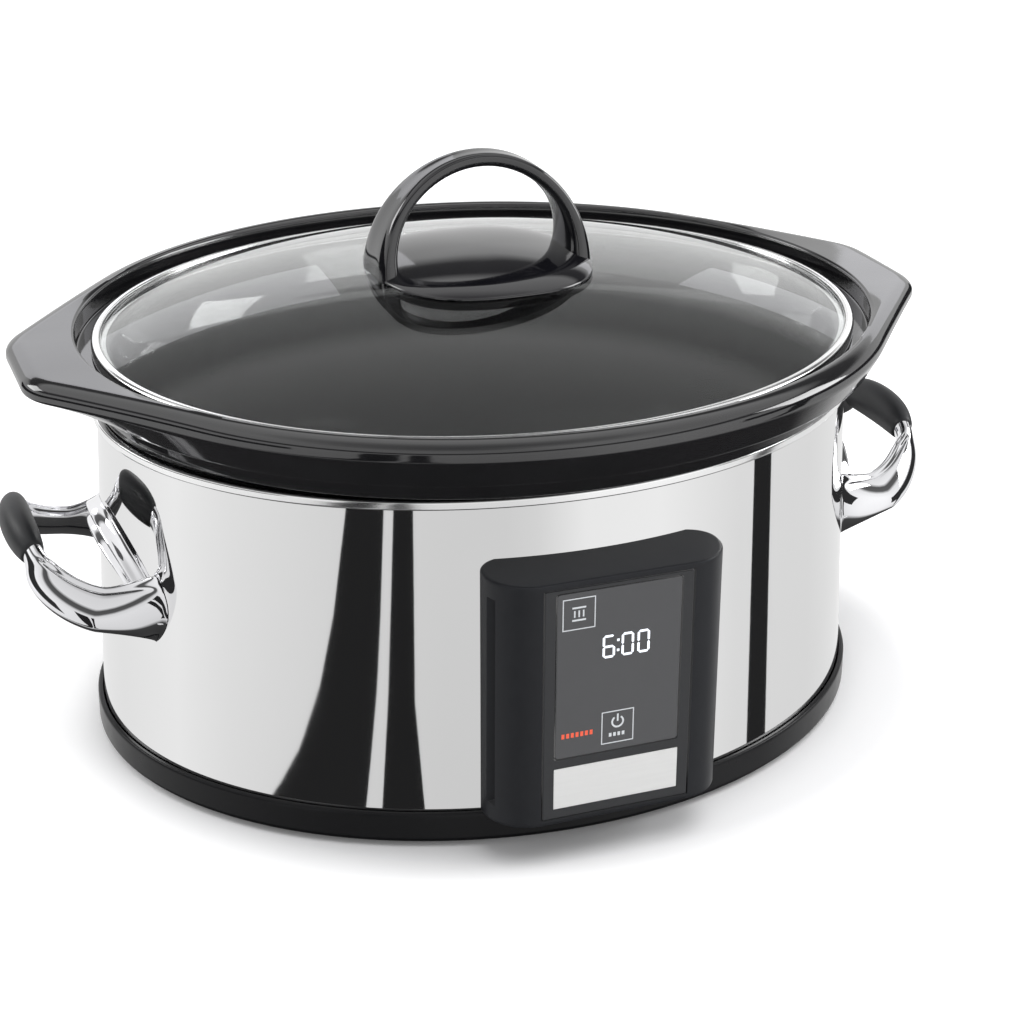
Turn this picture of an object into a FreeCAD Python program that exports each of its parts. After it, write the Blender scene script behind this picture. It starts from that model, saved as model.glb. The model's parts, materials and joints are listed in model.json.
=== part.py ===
import FreeCAD, Part
import Sketcher
import math
import os
import re

# Oval countertop slow cooker: a steel-wrapped heating base on four rubber feet,
# a removable glazed crock with two end tabs, and a domed glass lid with an arched handle.
# Frame: origin under the middle of the oval on the standing surface, X along the length,
# -Y towards the control panel, +Z up.  All sizes are millimetres.

DOC = FreeCAD.newDocument("slow_cooker")
SHEET = DOC.addObject("Spreadsheet::Sheet", "Sizes")

SIZES = (
    ("foot_drop", 2.5, "feet below the base"),
    ("foot_radius", 9.0, "rubber foot"),
    ("foot_seat", 1.5, "depth of the foot's recess in the base"),
    ("foot_inset_x", 60.2, "foot centre inside the base's ends"),
    ("foot_inset_y", 63.5, "foot centre inside the base's front and back"),
    ("shell_room_x", 15.7, "skirt of the base outside the liner's top, at the ends"),
    ("shell_room_y", 14.0, "skirt of the base outside the liner's top, front and back"),
    ("base_height", 13.0, "skirt height"),
    ("base_floor", 3.0, "floor thickness of the base"),
    ("base_skirt", 7.0, "skirt thickness below the rebate"),
    ("rebate_depth", 5.0, "depth of the rebate that holds the wrap"),
    ("skirt_step", 2.4, "ledge of the skirt outside the wrap"),
    ("fit_gap", 0.2, "clearance between fixed pieces"),
    ("lift_gap", 0.3, "clearance under the pieces that lift off"),
    ("vent_length", 34.0, "slot in the base floor"),
    ("vent_width", 4.0, "slot in the base floor"),
    ("vent_pitch", 12.0, "between the slots"),
    ("under_room", 21.7, "between the base floor and the liner floor"),
    ("wrap_taper", 5.2, "how far each side draws in over its height"),
    ("wrap_sheet", 0.8, "steel sheet"),
    ("trim_height", 3.7, "trim ring at the top of the wrap"),
    ("trim_outset", 1.9, "trim ring outside the wrap"),
    ("trim_inset", 1.4, "trim ring inside the wrap's face"),
    ("trim_round", 1.2, "bevel of the trim ring"),
    ("liner_length", 313.0, "heating liner at its top, inside"),
    ("liner_width", 255.0, "heating liner at its top, inside"),
    ("liner_depth", 121.0, "heating liner, inside"),
    ("liner_draft", 12.5, "how far each side of the liner draws in"),
    ("liner_sheet", 1.0, "liner steel"),
    ("band_foot", 12.0, "lower edge of the heater band above the liner floor"),
    ("band_height", 40.0, "heater band"),
    ("band_depth", 2.5, "heater band thickness"),
    ("strap_height", 8.0, "steel strap round the heater band"),
    ("strap_sheet", 0.8, "steel strap"),
    ("blanket_foot", 58.0, "lower edge of the insulation above the liner floor"),
    ("blanket_height", 50.0, "insulation blanket"),
    ("blanket_depth", 4.0, "insulation blanket"),
    ("post_radius", 4.0, "post between base and liner"),
    ("post_x", 78.0, "post centre along the length"),
    ("post_y", 46.0, "post centre across the width"),
    ("screw_radius", 1.7, "small screw shank"),
    ("thread_gap", 0.05, "between a screw and its threaded hole"),
    ("head_radius", 3.2, "small screw head"),
    ("head_height", 2.0, "small screw head"),
    ("base_screw_grip", 9.0, "thread of a base screw inside its post"),
    ("sensor_radius", 6.0, "temperature sensor cup"),
    ("sensor_height", 5.0, "temperature sensor cup"),
    ("fuse_radius", 2.2, "thermal fuse"),
    ("fuse_length", 24.0, "thermal fuse"),
    ("fuse_y", 24.0, "thermal fuse from the middle"),
    ("terminal_length", 26.0, "terminal block"),
    ("terminal_depth", 14.0, "terminal block"),
    ("terminal_height", 12.0, "terminal block"),
    ("terminal_inset", 45.5, "terminal block inside the back of the base"),
    ("inlet_height", 34.0, "cord inlet above the standing surface"),
    ("inlet_bore", 4.0, "cord hole radius"),
    ("inlet_radius", 7.0, "inlet bush in the wrap"),
    ("inlet_flange", 11.0, "inlet bush flange radius"),
    ("inlet_reach", 8.0, "inlet bush outside the wrap"),
    ("inlet_tail", 9.0, "inlet bush inside the wrap"),
    ("flange_depth", 3.0, "inlet bush flange"),
    ("housing_width", 98.0, "control housing"),
    ("housing_reach", 18.5, "front of the control housing beyond the base"),
    ("housing_round", 18.0, "front corners of the control housing"),
    ("housing_bottom", 19.5, "control housing above the standing surface"),
    ("housing_wall", 2.4, "control housing wall"),
    ("fascia_width", 61.8, "front panel"),
    ("fascia_depth", 5.0, "front panel"),
    ("window_width", 52.2, "display window"),
    ("window_height", 71.2, "display window"),
    ("window_depth", 2.0, "display window"),
    ("window_top", 4.2, "display window below the top of the housing"),
    ("plate_height", 17.7, "nameplate"),
    ("plate_depth", 1.2, "nameplate"),
    ("plate_gap", 3.8, "between the display window and the nameplate"),
    ("plate_margin", 6.9, "nameplate above the housing's bottom"),
    ("panel_round", 1.5, "corner radius of window and nameplate"),
    ("digit_width", 27.0, "display block"),
    ("digit_height", 14.0, "display block"),
    ("digit_x", 3.0, "display block right of the middle"),
    ("digit_drop", 25.0, "display block centre below the window's top"),
    ("board_width", 56.0, "circuit boards"),
    ("board_sheet", 1.6, "circuit boards"),
    ("touch_height", 90.0, "touch board"),
    ("power_height", 78.0, "power board"),
    ("board_gap", 3.4, "between the two boards"),
    ("spacer_radius", 2.5, "board spacers"),
    ("spacer_inset", 4.5, "board spacers from the board's edge"),
    ("part_depth", 9.5, "tall components on the power board"),
    ("relay_width", 15.0, "relay"),
    ("relay_height", 19.0, "relay"),
    ("coil_width", 20.0, "mains transformer"),
    ("coil_height", 17.0, "mains transformer"),
    ("can_radius", 5.0, "capacitor"),
    ("buzzer_radius", 6.0, "buzzer"),
    ("buzzer_depth", 6.0, "buzzer"),
    ("part_x", 14.0, "components from the middle of the power board"),
    ("part_upper", 21.0, "upper components above the board's middle"),
    ("part_lower", 14.0, "lower components below the board's middle"),
    ("boss_radius", 3.4, "screw boss in the control housing"),
    ("boss_inset", 5.6, "screw boss from the housing's side"),
    ("boss_rise", 12.0, "screw boss from the housing's top and bottom"),
    ("slot_count", 15, "vent slots down each side of the housing"),
    ("slot_height", 2.2, "vent slot"),
    ("slot_depth", 6.0, "vent slot, front to back"),
    ("slot_pitch", 6.0, "between the vent slots"),
    ("slot_inset", 12.0, "vent slots behind the housing's front"),
    ("opening_width", 44.0, "wiring opening in the wrap behind the housing"),
    ("opening_height", 60.0, "wiring opening in the wrap behind the housing"),
    ("handle_span", 50.0, "side handle pad from the middle, across the width"),
    ("handle_foot", 83.0, "height of the side handle's pads"),
    ("handle_reach", 29.8, "side handle grip beyond the base"),
    ("handle_rise", 107.0, "height of the side handle's grip"),
    ("handle_bow", 3.0, "outward bow of the grip"),
    ("arm_width", 4.2, "side handle arm half thickness at the grip"),
    ("arm_depth", 5.5, "side handle arm half depth at the grip"),
    ("pad_width", 5.0, "side handle arm half thickness at the wall"),
    ("pad_depth", 9.0, "side handle arm half depth at the wall"),
    ("grip_length", 54.0, "side handle grip"),
    ("grip_width", 7.0, "side handle grip half thickness"),
    ("grip_depth", 9.0, "side handle grip half depth"),
    ("grip_taper", 0.15, "how much slimmer the grip is at its ends, as a share"),
    ("bar_start", 4.8, "side handle's line starts this far inside the wall"),
    ("plate_rise", 109.0, "top of the crescent backplate"),
    ("plate_reach", 55.0, "half the crescent backplate's length"),
    ("plate_drop", 31.0, "crescent's upper arc, from its top to its tips"),
    ("plate_band", 11.0, "crescent backplate's height in the middle"),
    ("plate_sheet", 3.0, "crescent backplate"),
    ("screw_bite", 8.0, "thread of a housing or handle screw beyond the wrap"),
    ("crock_gap", 1.8, "between crock and liner"),
    ("crock_under", 2.0, "between crock and liner floor"),
    ("crock_wall", 7.0, "crock wall"),
    ("crock_floor", 8.0, "crock floor"),
    ("crock_toe", 8.0, "rounding of the crock's lower edge"),
    ("rim_land_x", 7.5, "crock rim outside the lid's recess, at the ends"),
    ("rim_land_y", 11.0, "crock rim outside the lid's recess, front and back"),
    ("collar_seat", 3.0, "collar's foot inside the trim ring's edge"),
    ("collar_rise", 5.2, "underside of the collar"),
    ("collar_inset", 13.5, "collar inside the rim's outline"),
    ("collar_height", 6.5, "upright band of the collar"),
    ("ridge_inset", 6.0, "lower edge of the rim's side inside its outline"),
    ("ridge_rise", 1.5, "step from the band out to the rim's side"),
    ("side_height", 11.5, "side face of the rim"),
    ("edge_height", 3.0, "upright edge of the rim"),
    ("crest_inset", 6.0, "crest inside the rim's outline"),
    ("crest_rise", 4.5, "crest above the rim's edge"),
    ("crest_dip", 0.8, "inner edge of the rim below the crest"),
    ("collar_flare", 2.0, "widening of the collar's band"),
    ("tab_reach", 19.5, "tab end beyond the rim"),
    ("tab_flat", 18.0, "half the straight end of a tab"),
    ("tab_round", 28.0, "corner radius of a tab"),
    ("tab_droop", 1.5, "how far the tab's end hangs below the rim"),
    ("lid_over_x", 8.5, "lid ring outside the liner's top, at the ends"),
    ("lid_over_y", 16.0, "lid ring outside the liner's top, front and back"),
    ("lid_groove", 6.5, "between the lid ring and the recess in the rim"),
    ("lid_seat", 10.1, "lid ledge below the crest"),
    ("lid_land", 8.0, "ledge under the lid ring"),
    ("throat_depth", 17.0, "funnel between the lid ledge and the upright wall"),
    ("ring_height", 5.5, "lid ring"),
    ("ring_lip", 0.9, "lid ring above the edge of the glass"),
    ("ring_width", 7.0, "lid ring"),
    ("ring_round", 1.4, "bevel of the lid ring"),
    ("glass_lap", 3.5, "lid glass inside the ring's outer edge"),
    ("glass_sheet", 3.5, "lid glass"),
    ("dome_rise", 25.0, "lid glass, middle above its edge"),
    ("dome_share", 0.7, "cap's half width as a share of its ellipsoid's"),
    ("knob_length", 98.0, "lid handle base"),
    ("knob_width", 98.0, "lid handle base"),
    ("knob_edge", 1.0, "lid handle base, edge above the glass"),
    ("knob_dome", 7.0, "lid handle base, middle above its edge"),
    ("knob_share", 0.9, "lid handle base's half width as a share of its ellipsoid's"),
    ("arch_radius", 50.0, "lid handle arch, outside"),
    ("arch_sheet", 7.5, "lid handle arch thickness"),
    ("arch_sink", 3.0, "centre of the lid handle's arch below the top of the glass"),
    ("arch_top", 13.0, "lid handle arch width at its top"),
    ("arch_foot", 32.0, "lid handle arch width at its feet"),
    ("knob_screw", 2.5, "lid handle screw shank"),
    ("knob_thread", 4.5, "lid handle screw inside the handle"),
    ("knob_head", 5.5, "lid handle screw head"),
    ("washer_radius", 9.0, "lid washer"),
    ("washer_sheet", 1.2, "lid washer"),
)

BAR_STATIONS = 17
GRIP_STATIONS = 7
MIDDLE = 0.5
OUTLINE_POINTS = 96
END_CROWDING = 0.35
HALVINGS = 40

NAMES = {name for name, _, _ in SIZES}
NODES = []


def fill_sheet():
    for row, (name, number, note) in enumerate(SIZES, 1):
        SHEET.set(f"A{row}", name)
        SHEET.set(f"B{row}", str(number))
        SHEET.setAlias(f"B{row}", name)
        SHEET.set(f"C{row}", note)
    DOC.recompute()


def size(name):
    return float(SHEET.get(name))


def cells(text):
    """Point every size named in an expression at its cell."""
    return re.sub(r"[a-z_]+", lambda m: "Sizes." + m[0] if m[0] in NAMES else m[0], text)


def bind(thing, **sizes):
    """Bind properties to expressions; x, y and z stand for the placement."""
    for name, text in sizes.items():
        path = f"Placement.Base.{name}" if name in ("x", "y", "z") else name
        thing.setExpression(path, cells(text))
    return thing


def node(label, thing):
    thing.Label = label
    NODES.append(thing)
    return thing


def primitive(kind, name, turn=None, **sizes):
    thing = DOC.addObject("Part::" + kind, name)
    if turn:
        axis, angle = turn
        thing.Placement.Rotation = FreeCAD.Rotation(FreeCAD.Vector(*axis), angle)
    return bind(thing, **sizes)


def cut(name, base, tool):
    thing = DOC.addObject("Part::Cut", name)
    thing.Base = base
    thing.Tool = tool
    return thing


def fuse(name, *pieces):
    thing = DOC.addObject("Part::MultiFuse", name)
    thing.Shapes = list(pieces)
    return thing


def common(name, *pieces):
    thing = DOC.addObject("Part::MultiCommon", name)
    thing.Shapes = list(pieces)
    return thing


def group(name, pieces):
    thing = DOC.addObject("Part::Compound", name)
    thing.Links = list(pieces)
    return thing


def oval(name, half_length, half_width, height):
    thing = DOC.addObject("Part::Ellipse", name)
    return bind(thing, MajorRadius=half_length, MinorRadius=half_width, z=height)


def oval_block(name, half_length, half_width, bottom, height):
    """Upright oval block."""
    thing = DOC.addObject("Part::Extrusion", name)
    thing.Base = oval(name + "_outline", half_length, half_width, bottom)
    thing.DirMode = "Custom"
    thing.Dir = FreeCAD.Vector(0, 0, 1)
    thing.Solid = True
    return bind(thing, LengthFwd=height)


def oval_loft(name, *levels):
    """Straight-sided solid through oval levels of (half length, half width, height)."""
    thing = DOC.addObject("Part::Loft", name)
    thing.Sections = [oval(f"{name}_{n}", *level) for n, level in enumerate(levels)]
    thing.Solid = True
    thing.Ruled = True
    return thing


def rounded_plate(name, width, height, corner, depth, **place):
    """Plate standing in the XZ plane with rounded corners; it grows towards -Y."""
    body = DOC.addObject("PartDesign::Body", name)
    plane = next(f for f in body.Origin.OriginFeatures if f.Role == "XZ_Plane")
    sketch = body.newObject("Sketcher::SketchObject", name + "_sketch")
    sketch.AttachmentSupport = [(plane, "")]
    sketch.MapMode = "FlatFace"
    draw_rounded_rectangle(sketch, width, height, corner)
    pad = body.newObject("PartDesign::Pad", name + "_pad")
    pad.Profile = sketch
    bind(pad, Length=depth)
    bind(body, **place)
    return body


def draw_rounded_rectangle(sketch, width, height, corner):
    """Rounded rectangle centred on the sketch's origin, every size bound."""
    half, arc = 10.0, 2.0
    flat = half - arc
    starts = ((-flat, half), (half, flat), (flat, -half), (-half, -flat))
    ends = ((flat, half), (half, -flat), (-flat, -half), (-half, flat))
    for start, end in zip(starts, ends):
        line = Part.LineSegment(FreeCAD.Vector(*start), FreeCAD.Vector(*end))
        sketch.addGeometry(line, False)
    centres = ((flat, flat), (flat, -flat), (-flat, -flat), (-flat, flat))
    for quarter, centre in enumerate(centres):
        circle = Part.Circle(FreeCAD.Vector(*centre), FreeCAD.Vector(0, 0, 1), arc)
        begin = math.radians(-90 * quarter)
        sketch.addGeometry(Part.ArcOfCircle(circle, begin, begin + math.pi / 2), False)
    rule = sketch.addConstraint
    make = Sketcher.Constraint
    for side in range(4):
        arc_edge = 4 + side
        after = (side + 1) % 4
        rule(make("Tangent", side, 2, arc_edge, 2))
        rule(make("Tangent", arc_edge, 1, after, 1))
    for side in (0, 2):
        rule(make("Horizontal", side))
        rule(make("Vertical", side + 1))
    for arc_edge in (5, 6, 7):
        rule(make("Equal", 4, arc_edge))
    rule(make("Symmetric", 0, 1, 2, 1, -1, 1))
    sizes = (
        (make("DistanceX", 3, 1, 1, 1, 2 * half), width),
        (make("DistanceY", 2, 1, 0, 1, 2 * half), height),
        (make("Radius", 4, arc), corner),
    )
    for constraint, text in sizes:
        index = rule(constraint)
        sketch.setExpression(f"Constraints[{index}]", cells(text))


def outline(*rooms):
    """Half length and half width, as expressions, of an oval outside the liner by named rooms."""
    return tuple(
        f"(liner_{along} / 2" + "".join(f" + {room}_{axis}" for room in rooms) + ")"
        for along, axis in (("length", "x"), ("width", "y"))
    )


def outline_sizes(*rooms):
    """The same half length and half width as numbers."""
    return tuple(
        size("liner_" + along) / 2 + sum(size(f"{room}_{axis}") for room in rooms)
        for along, axis in (("length", "x"), ("width", "y"))
    )


# Shared places, written once as expressions on the sheet.
BASE = outline("shell_room")
FEET = (f"({BASE[0]} - foot_inset_x)", f"({BASE[1]} - foot_inset_y)")
LID = outline("lid_over")
REBATE = "(foot_drop + base_height - rebate_depth)"
FLOOR_TOP = "(foot_drop + base_floor)"
LINER_FLOOR = f"({FLOOR_TOP} + under_room)"
TRIM_TOP = f"({LINER_FLOOR} + liner_depth)"
WRAP_TOP = f"({TRIM_TOP} - trim_height)"
WRAP_LOW = tuple(f"({half} - skirt_step)" for half in BASE)
WRAP_HIGH = tuple(f"({low} - wrap_taper)" for low in WRAP_LOW)
LINER_HIGH = ("(liner_length / 2)", "(liner_width / 2)")
LINER_LOW = tuple(f"({high} - liner_draft)" for high in LINER_HIGH)
COLLAR_FOOT = f"({TRIM_TOP} + lift_gap)"
RIM_LEVELS = ("collar_rise", "collar_height", "ridge_rise", "side_height", "edge_height", "crest_rise")
CREST = f"({COLLAR_FOOT} + " + " + ".join(RIM_LEVELS) + ")"
LID_LEDGE = f"({CREST} - lid_seat)"
LID_FOOT = f"({LID_LEDGE} + lift_gap)"
FACE = f"({BASE[1]} + housing_reach)"
PANEL_BACK = f"(fascia_depth - {FACE})"
HOUSING_HEIGHT = "(window_top + window_height + plate_gap + plate_height + plate_margin)"
HOUSING_TOP = f"(housing_bottom + {HOUSING_HEIGHT})"
HOUSING_MIDDLE = f"(housing_bottom + {HOUSING_HEIGHT} / 2)"


def between(low, high, bottom, top, height):
    """Half size at a height of a side that runs straight from low to high."""
    return f"({low} + ({high} - {low}) * ({height} - {bottom}) / ({top} - {bottom}))"


def wrap_half(height):
    return [between(low, high, REBATE, WRAP_TOP, height) for low, high in zip(WRAP_LOW, WRAP_HIGH)]


def liner_half(height):
    return [between(low, high, LINER_FLOOR, TRIM_TOP, height) for low, high in zip(LINER_LOW, LINER_HIGH)]


def grown(halves, by):
    return [f"({half} + {by})" for half in halves]


def wrap_solid(name, offset, extra="0"):
    """Filled body of the steel wrap, offset outwards, taller by `extra` at both ends."""
    low, high = f"({REBATE} - {extra})", f"({WRAP_TOP} + {extra})"
    levels = [(*grown(wrap_half(level), offset), level) for level in (low, high)]
    return oval_loft(name, *levels)


def liner_shell(name, inner, outer, bottom, top):
    """Band that follows the liner's sloping wall between two offsets."""
    skins = []
    for skin, offset in (("inner", inner), ("outer", outer)):
        levels = [(*grown(liner_half(level), offset), level) for level in (bottom, top)]
        skins.append(oval_loft(f"{name}_{skin}", *levels))
    return cut(name, skins[1], skins[0])


def corners(half_x, half_y):
    return [(x + half_x, y + half_y) for x in ("-", "") for y in ("-", "")]


def uprights(name, radius, height, bottom, half_x, half_y):
    """Four equal upright cylinders at the corners of a rectangle."""
    return [
        primitive("Cylinder", f"{name}_{n}", Radius=radius, Height=height, x=x, y=y, z=bottom)
        for n, (x, y) in enumerate(corners(half_x, half_y))
    ]


def base():
    outer = oval_block("base_skirt_block", *BASE, "foot_drop", "base_height")
    well = oval_block("base_well", *grown(BASE, "-base_skirt"), FLOOR_TOP, "base_height")
    rebate = oval_block("base_rebate", *grown(wrap_half(REBATE), "fit_gap"), REBATE, "base_height")
    feet = uprights("foot_recess", "foot_radius", "foot_seat", "foot_drop", *FEET)
    holes = uprights("post_hole", "screw_radius + fit_gap", "base_height", "0", "post_x", "post_y")
    sinks = uprights(
        "head_recess", "head_radius + fit_gap", "foot_drop + head_height", "0", "post_x", "post_y"
    )
    slots = [vent(n, side) for side in (-1, 1) for n in range(-2, 3)]
    tools = group("base_cuts", [well, rebate, *feet, *slots])
    drilled = cut("base_drilled", cut("base_open", outer, tools), group("base_holes", holes))
    node("base_tray", cut("base_tray_solid", drilled, group("base_sinks", sinks)))
    feet = uprights("foot", "foot_radius", "foot_drop + foot_seat", "0", *FEET)
    node("rubber_feet", group("feet", feet))
    screws()


def vent(number, side):
    """Slot through the base floor, on one side of the posts."""
    return primitive(
        "Box", f"vent_{number + 2}_{side + 1}", Length="vent_length", Width="vent_width",
        Height="base_floor",
        x=f"{side} * post_x / 2 - vent_length / 2", y=f"{number} * vent_pitch - vent_width / 2",
        z="foot_drop",
    )


def screws():
    """Posts carry the liner on the base; a screw from below holds each."""
    pilot = uprights(
        "post_pilot", "screw_radius + thread_gap", "base_screw_grip", FLOOR_TOP, "post_x", "post_y"
    )
    length = f"{LINER_FLOOR} - liner_sheet - {FLOOR_TOP}"
    posts = uprights("post", "post_radius", length, FLOOR_TOP, "post_x", "post_y")
    node("liner_posts", cut("posts_drilled", group("posts", posts), group("post_pilots", pilot)))
    shank_length = "base_floor - head_height + base_screw_grip"
    above_head = "foot_drop + head_height"
    shanks = uprights("base_shank", "screw_radius", shank_length, above_head, "post_x", "post_y")
    heads = uprights("base_head", "head_radius", "head_height", "foot_drop", "post_x", "post_y")
    node("base_screws", screw_group("base_screw", shanks, heads))


def screw_group(name, shanks, heads):
    screws_made = [fuse(f"{name}_{n}", *pair) for n, pair in enumerate(zip(shanks, heads))]
    return group(name + "_set", screws_made)


def wrap():
    """Bent sheets that meet behind the control housing, at the handles and at the back; the trim ring."""
    shell = cut("wrap_shell", wrap_solid("wrap_outside", "0"), wrap_solid("wrap_inside", "-wrap_sheet"))
    opening = primitive(
        "Box", "wiring_opening", Length="opening_width", Width=FACE, Height="opening_height",
        x="-opening_width / 2", y="-" + FACE, z=f"{HOUSING_MIDDLE} - opening_height / 2",
    )
    inlet = primitive(
        "Cylinder", "inlet_hole", turn=((1, 0, 0), -90), Radius="inlet_radius + fit_gap / 2",
        Height=BASE[1], z="inlet_height",
    )
    loose = "screw_radius + fit_gap"
    bosses = boss_cylinders("wrap_boss_hole", loose, lambda level: "-" + FACE, FACE, signs=("",))
    front_hole, rear_hole = handle_cylinders("wrap_handle_hole", loose, "0", "liner_length")
    quarters = [
        wrap_quarter(shell, name, start, tools)
        for name, start, tools in (
            ("front", "-liner_width", [opening, front_hole, *bosses]), ("rear", "0", [inlet, rear_hole])
        )
    ]
    right = group("wrap_right", quarters)
    node("outer_wrap_right", right)
    node("outer_wrap_left", mirrored("wrap_left", right))
    node("top_trim_ring", bevelled_ring(
        "trim_ring", grown(WRAP_HIGH, "trim_outset"), "(trim_outset + trim_inset)", "trim_round",
        WRAP_TOP, "trim_height",
    ))


def wrap_quarter(shell, name, start, tools):
    """Right-hand sheet of the wrap, on one side of the handles, with its openings."""
    space = primitive(
        "Box", f"wrap_{name}_space", Length="liner_length", Width="liner_width", Height=TRIM_TOP,
        x="fit_gap / 2", y=start,
    )
    sheet = common(f"wrap_{name}_sheet", shell, space)
    return cut(f"wrap_{name}", sheet, group(f"wrap_{name}_cuts", tools))


def bevelled_ring(name, halves, band, bevel, bottom, height):
    """Upright oval ring whose outer edges are bevelled."""
    drawn_in = grown(halves, f"-{bevel}")
    top = f"({bottom} + {height})"
    levels = ((*drawn_in, bottom), (*halves, f"({bottom} + {bevel})"),
              (*halves, f"({top} - {bevel})"), (*drawn_in, top))
    solid = oval_loft(name + "_solid", *levels)
    return cut(
        name + "_ring", solid, oval_block(name + "_bore", *grown(halves, f"-{band}"), bottom, height)
    )


def liner():
    shell = liner_shell("liner_wall", "0", "liner_sheet", LINER_FLOOR, TRIM_TOP)
    floor = oval_block(
        "liner_floor", *grown(LINER_LOW, "liner_sheet"), f"{LINER_FLOOR} - liner_sheet", "liner_sheet"
    )
    outer = oval_block(
        "flange_outer", *grown(WRAP_HIGH, "-trim_inset"), f"{TRIM_TOP} - liner_sheet", "liner_sheet"
    )
    inner = oval_block("flange_inner", *LINER_HIGH, f"{TRIM_TOP} - liner_sheet", "liner_sheet")
    node("liner", fuse("liner_solid", shell, floor, cut("liner_flange", outer, inner)))


def heater():
    foot = f"({LINER_FLOOR} + band_foot)"
    band_out = "(liner_sheet + band_depth)"
    node(
        "heater_band",
        liner_shell("heater_band_solid", "liner_sheet", band_out, foot, f"{foot} + band_height"),
    )
    strap_foot = f"({foot} + band_height / 2 - strap_height / 2)"
    strap_in = f"({band_out} + fit_gap)"
    strap = liner_shell(
        "strap_solid", strap_in, f"({strap_in} + strap_sheet)", strap_foot,
        f"({strap_foot} + strap_height)",
    )
    node("heater_strap", strap)
    blanket_foot = f"({LINER_FLOOR} + blanket_foot)"
    blanket = liner_shell(
        "blanket_solid", "liner_sheet", "(liner_sheet + blanket_depth)", blanket_foot,
        f"({blanket_foot} + blanket_height)",
    )
    node("insulation_blanket", blanket)
    under = f"{LINER_FLOOR} - liner_sheet"
    cup = primitive(
        "Cylinder", "sensor_cup", Radius="sensor_radius", Height="sensor_height",
        z=f"{under} - sensor_height",
    )
    node("temperature_sensor", cup)
    stalk = primitive(
        "Cylinder", "sensor_stalk", Radius="post_radius", Height=f"{under} - sensor_height - {FLOOR_TOP}",
        z=FLOOR_TOP
    )
    node("sensor_post", stalk)
    fuse_body = primitive(
        "Cylinder", "fuse_body", turn=((0, 1, 0), 90), Radius="fuse_radius", Height="fuse_length",
        x="-fuse_length / 2", y="fuse_y", z=f"{under} - fuse_radius",
    )
    node("thermal_fuse", fuse_body)


def supply():
    """Terminal block on the base floor and the cord's inlet bush in the back of the wrap."""
    block = primitive(
        "Box", "terminal_box", Length="terminal_length", Width="terminal_depth", Height="terminal_height",
        x="-terminal_length / 2", y=f"{BASE[1]} - terminal_inset - terminal_depth / 2", z=FLOOR_TOP,
    )
    node("terminal_block", block)
    skin = wrap_half("inlet_height")[1]
    turn = ((1, 0, 0), -90)
    stem = primitive(
        "Cylinder", "inlet_stem", turn=turn, Radius="inlet_radius", Height="inlet_tail + inlet_reach",
        y=f"{skin} - inlet_tail", z="inlet_height",
    )
    flange = primitive(
        "Cylinder", "inlet_collar", turn=turn, Radius="inlet_flange", Height="flange_depth + wrap_sheet",
        y=f"{skin} - wrap_sheet", z="inlet_height",
    )
    seated = cut("inlet_seat", flange, wrap_solid("inlet_wrap", "0"))
    hole = primitive(
        "Cylinder", "inlet_bore_tool", turn=turn, Radius="inlet_bore", Height="inlet_tail + inlet_reach",
        y=f"{skin} - inlet_tail", z="inlet_height",
    )
    node("cord_inlet_bush", cut("inlet_bush", fuse("inlet_blank", stem, seated), hole))


SIDE = "(housing_width / 2 - boss_inset)"
BOSS_LEVELS = ("(housing_bottom + boss_rise)", f"({HOUSING_TOP} - boss_rise)")


def boss_cylinders(name, radius, start, length, signs=("-", "")):
    """Cylinders along Y at the housing's screw bosses; where each starts depends on its level."""
    places = [(sign, level) for sign in signs for level in BOSS_LEVELS]
    return [
        primitive(
            "Cylinder", f"{name}_{n}", turn=((1, 0, 0), -90), Radius=radius, Height=length,
            x=sign + SIDE, y=start(level), z=level,
        )
        for n, (sign, level) in enumerate(places)
    ]


def handle_cylinders(name, radius, start, length):
    """Two cylinders along +X at the right handle's screws."""
    return [
        primitive(
            "Cylinder", f"{name}_{n}", turn=((0, 1, 0), 90), Radius=radius, Height=length,
            x=start, y=sign + "handle_span", z="handle_foot",
        )
        for n, sign in enumerate(("-", ""))
    ]


def wrap_reach(along, across, height, place):
    """How far the inside of the wrap reaches along one axis at a place on the other."""
    return f"(({along} - wrap_sheet) * sqrt(1 - (({place}) / ({across} - wrap_sheet))^2))"


def boss_seat(level):
    """Distance of a housing screw's head from the middle: clear inside the curved wrap."""
    length, width = wrap_half(level)
    return wrap_reach(width, length, level, f"{SIDE} + head_radius")


def screw_tip(level):
    return f"-({boss_seat(level)} + screw_bite)"


def handle_seat():
    length, width = wrap_half("handle_foot")
    return wrap_reach(length, width, "handle_foot", "handle_span + head_radius")


def rounded_prism(name, width, face, corner, bottom, height):
    """Upright block whose two front corners are rounded; it runs back into the cooker."""
    half = f"(({width}) / 2)"
    middle = primitive(
        "Box", name + "_middle", Length=f"2 * ({half} - {corner})", Width=f"({face}) / 2", Height=height,
        x=f"{corner} - {half}", y=f"-({face})", z=bottom,
    )
    sides = primitive(
        "Box", name + "_sides", Length=width, Width=f"({face}) / 2 - {corner}", Height=height,
        x=f"-{half}", y=f"{corner} - ({face})", z=bottom,
    )
    rounds = [
        primitive(
            "Cylinder", f"{name}_round_{n}", Radius=corner, Height=height,
            x=f"{sign}({half} - {corner})", y=f"{corner} - ({face})", z=bottom,
        )
        for n, sign in enumerate(("-", ""))
    ]
    return fuse(name, middle, sides, *rounds)


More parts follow.
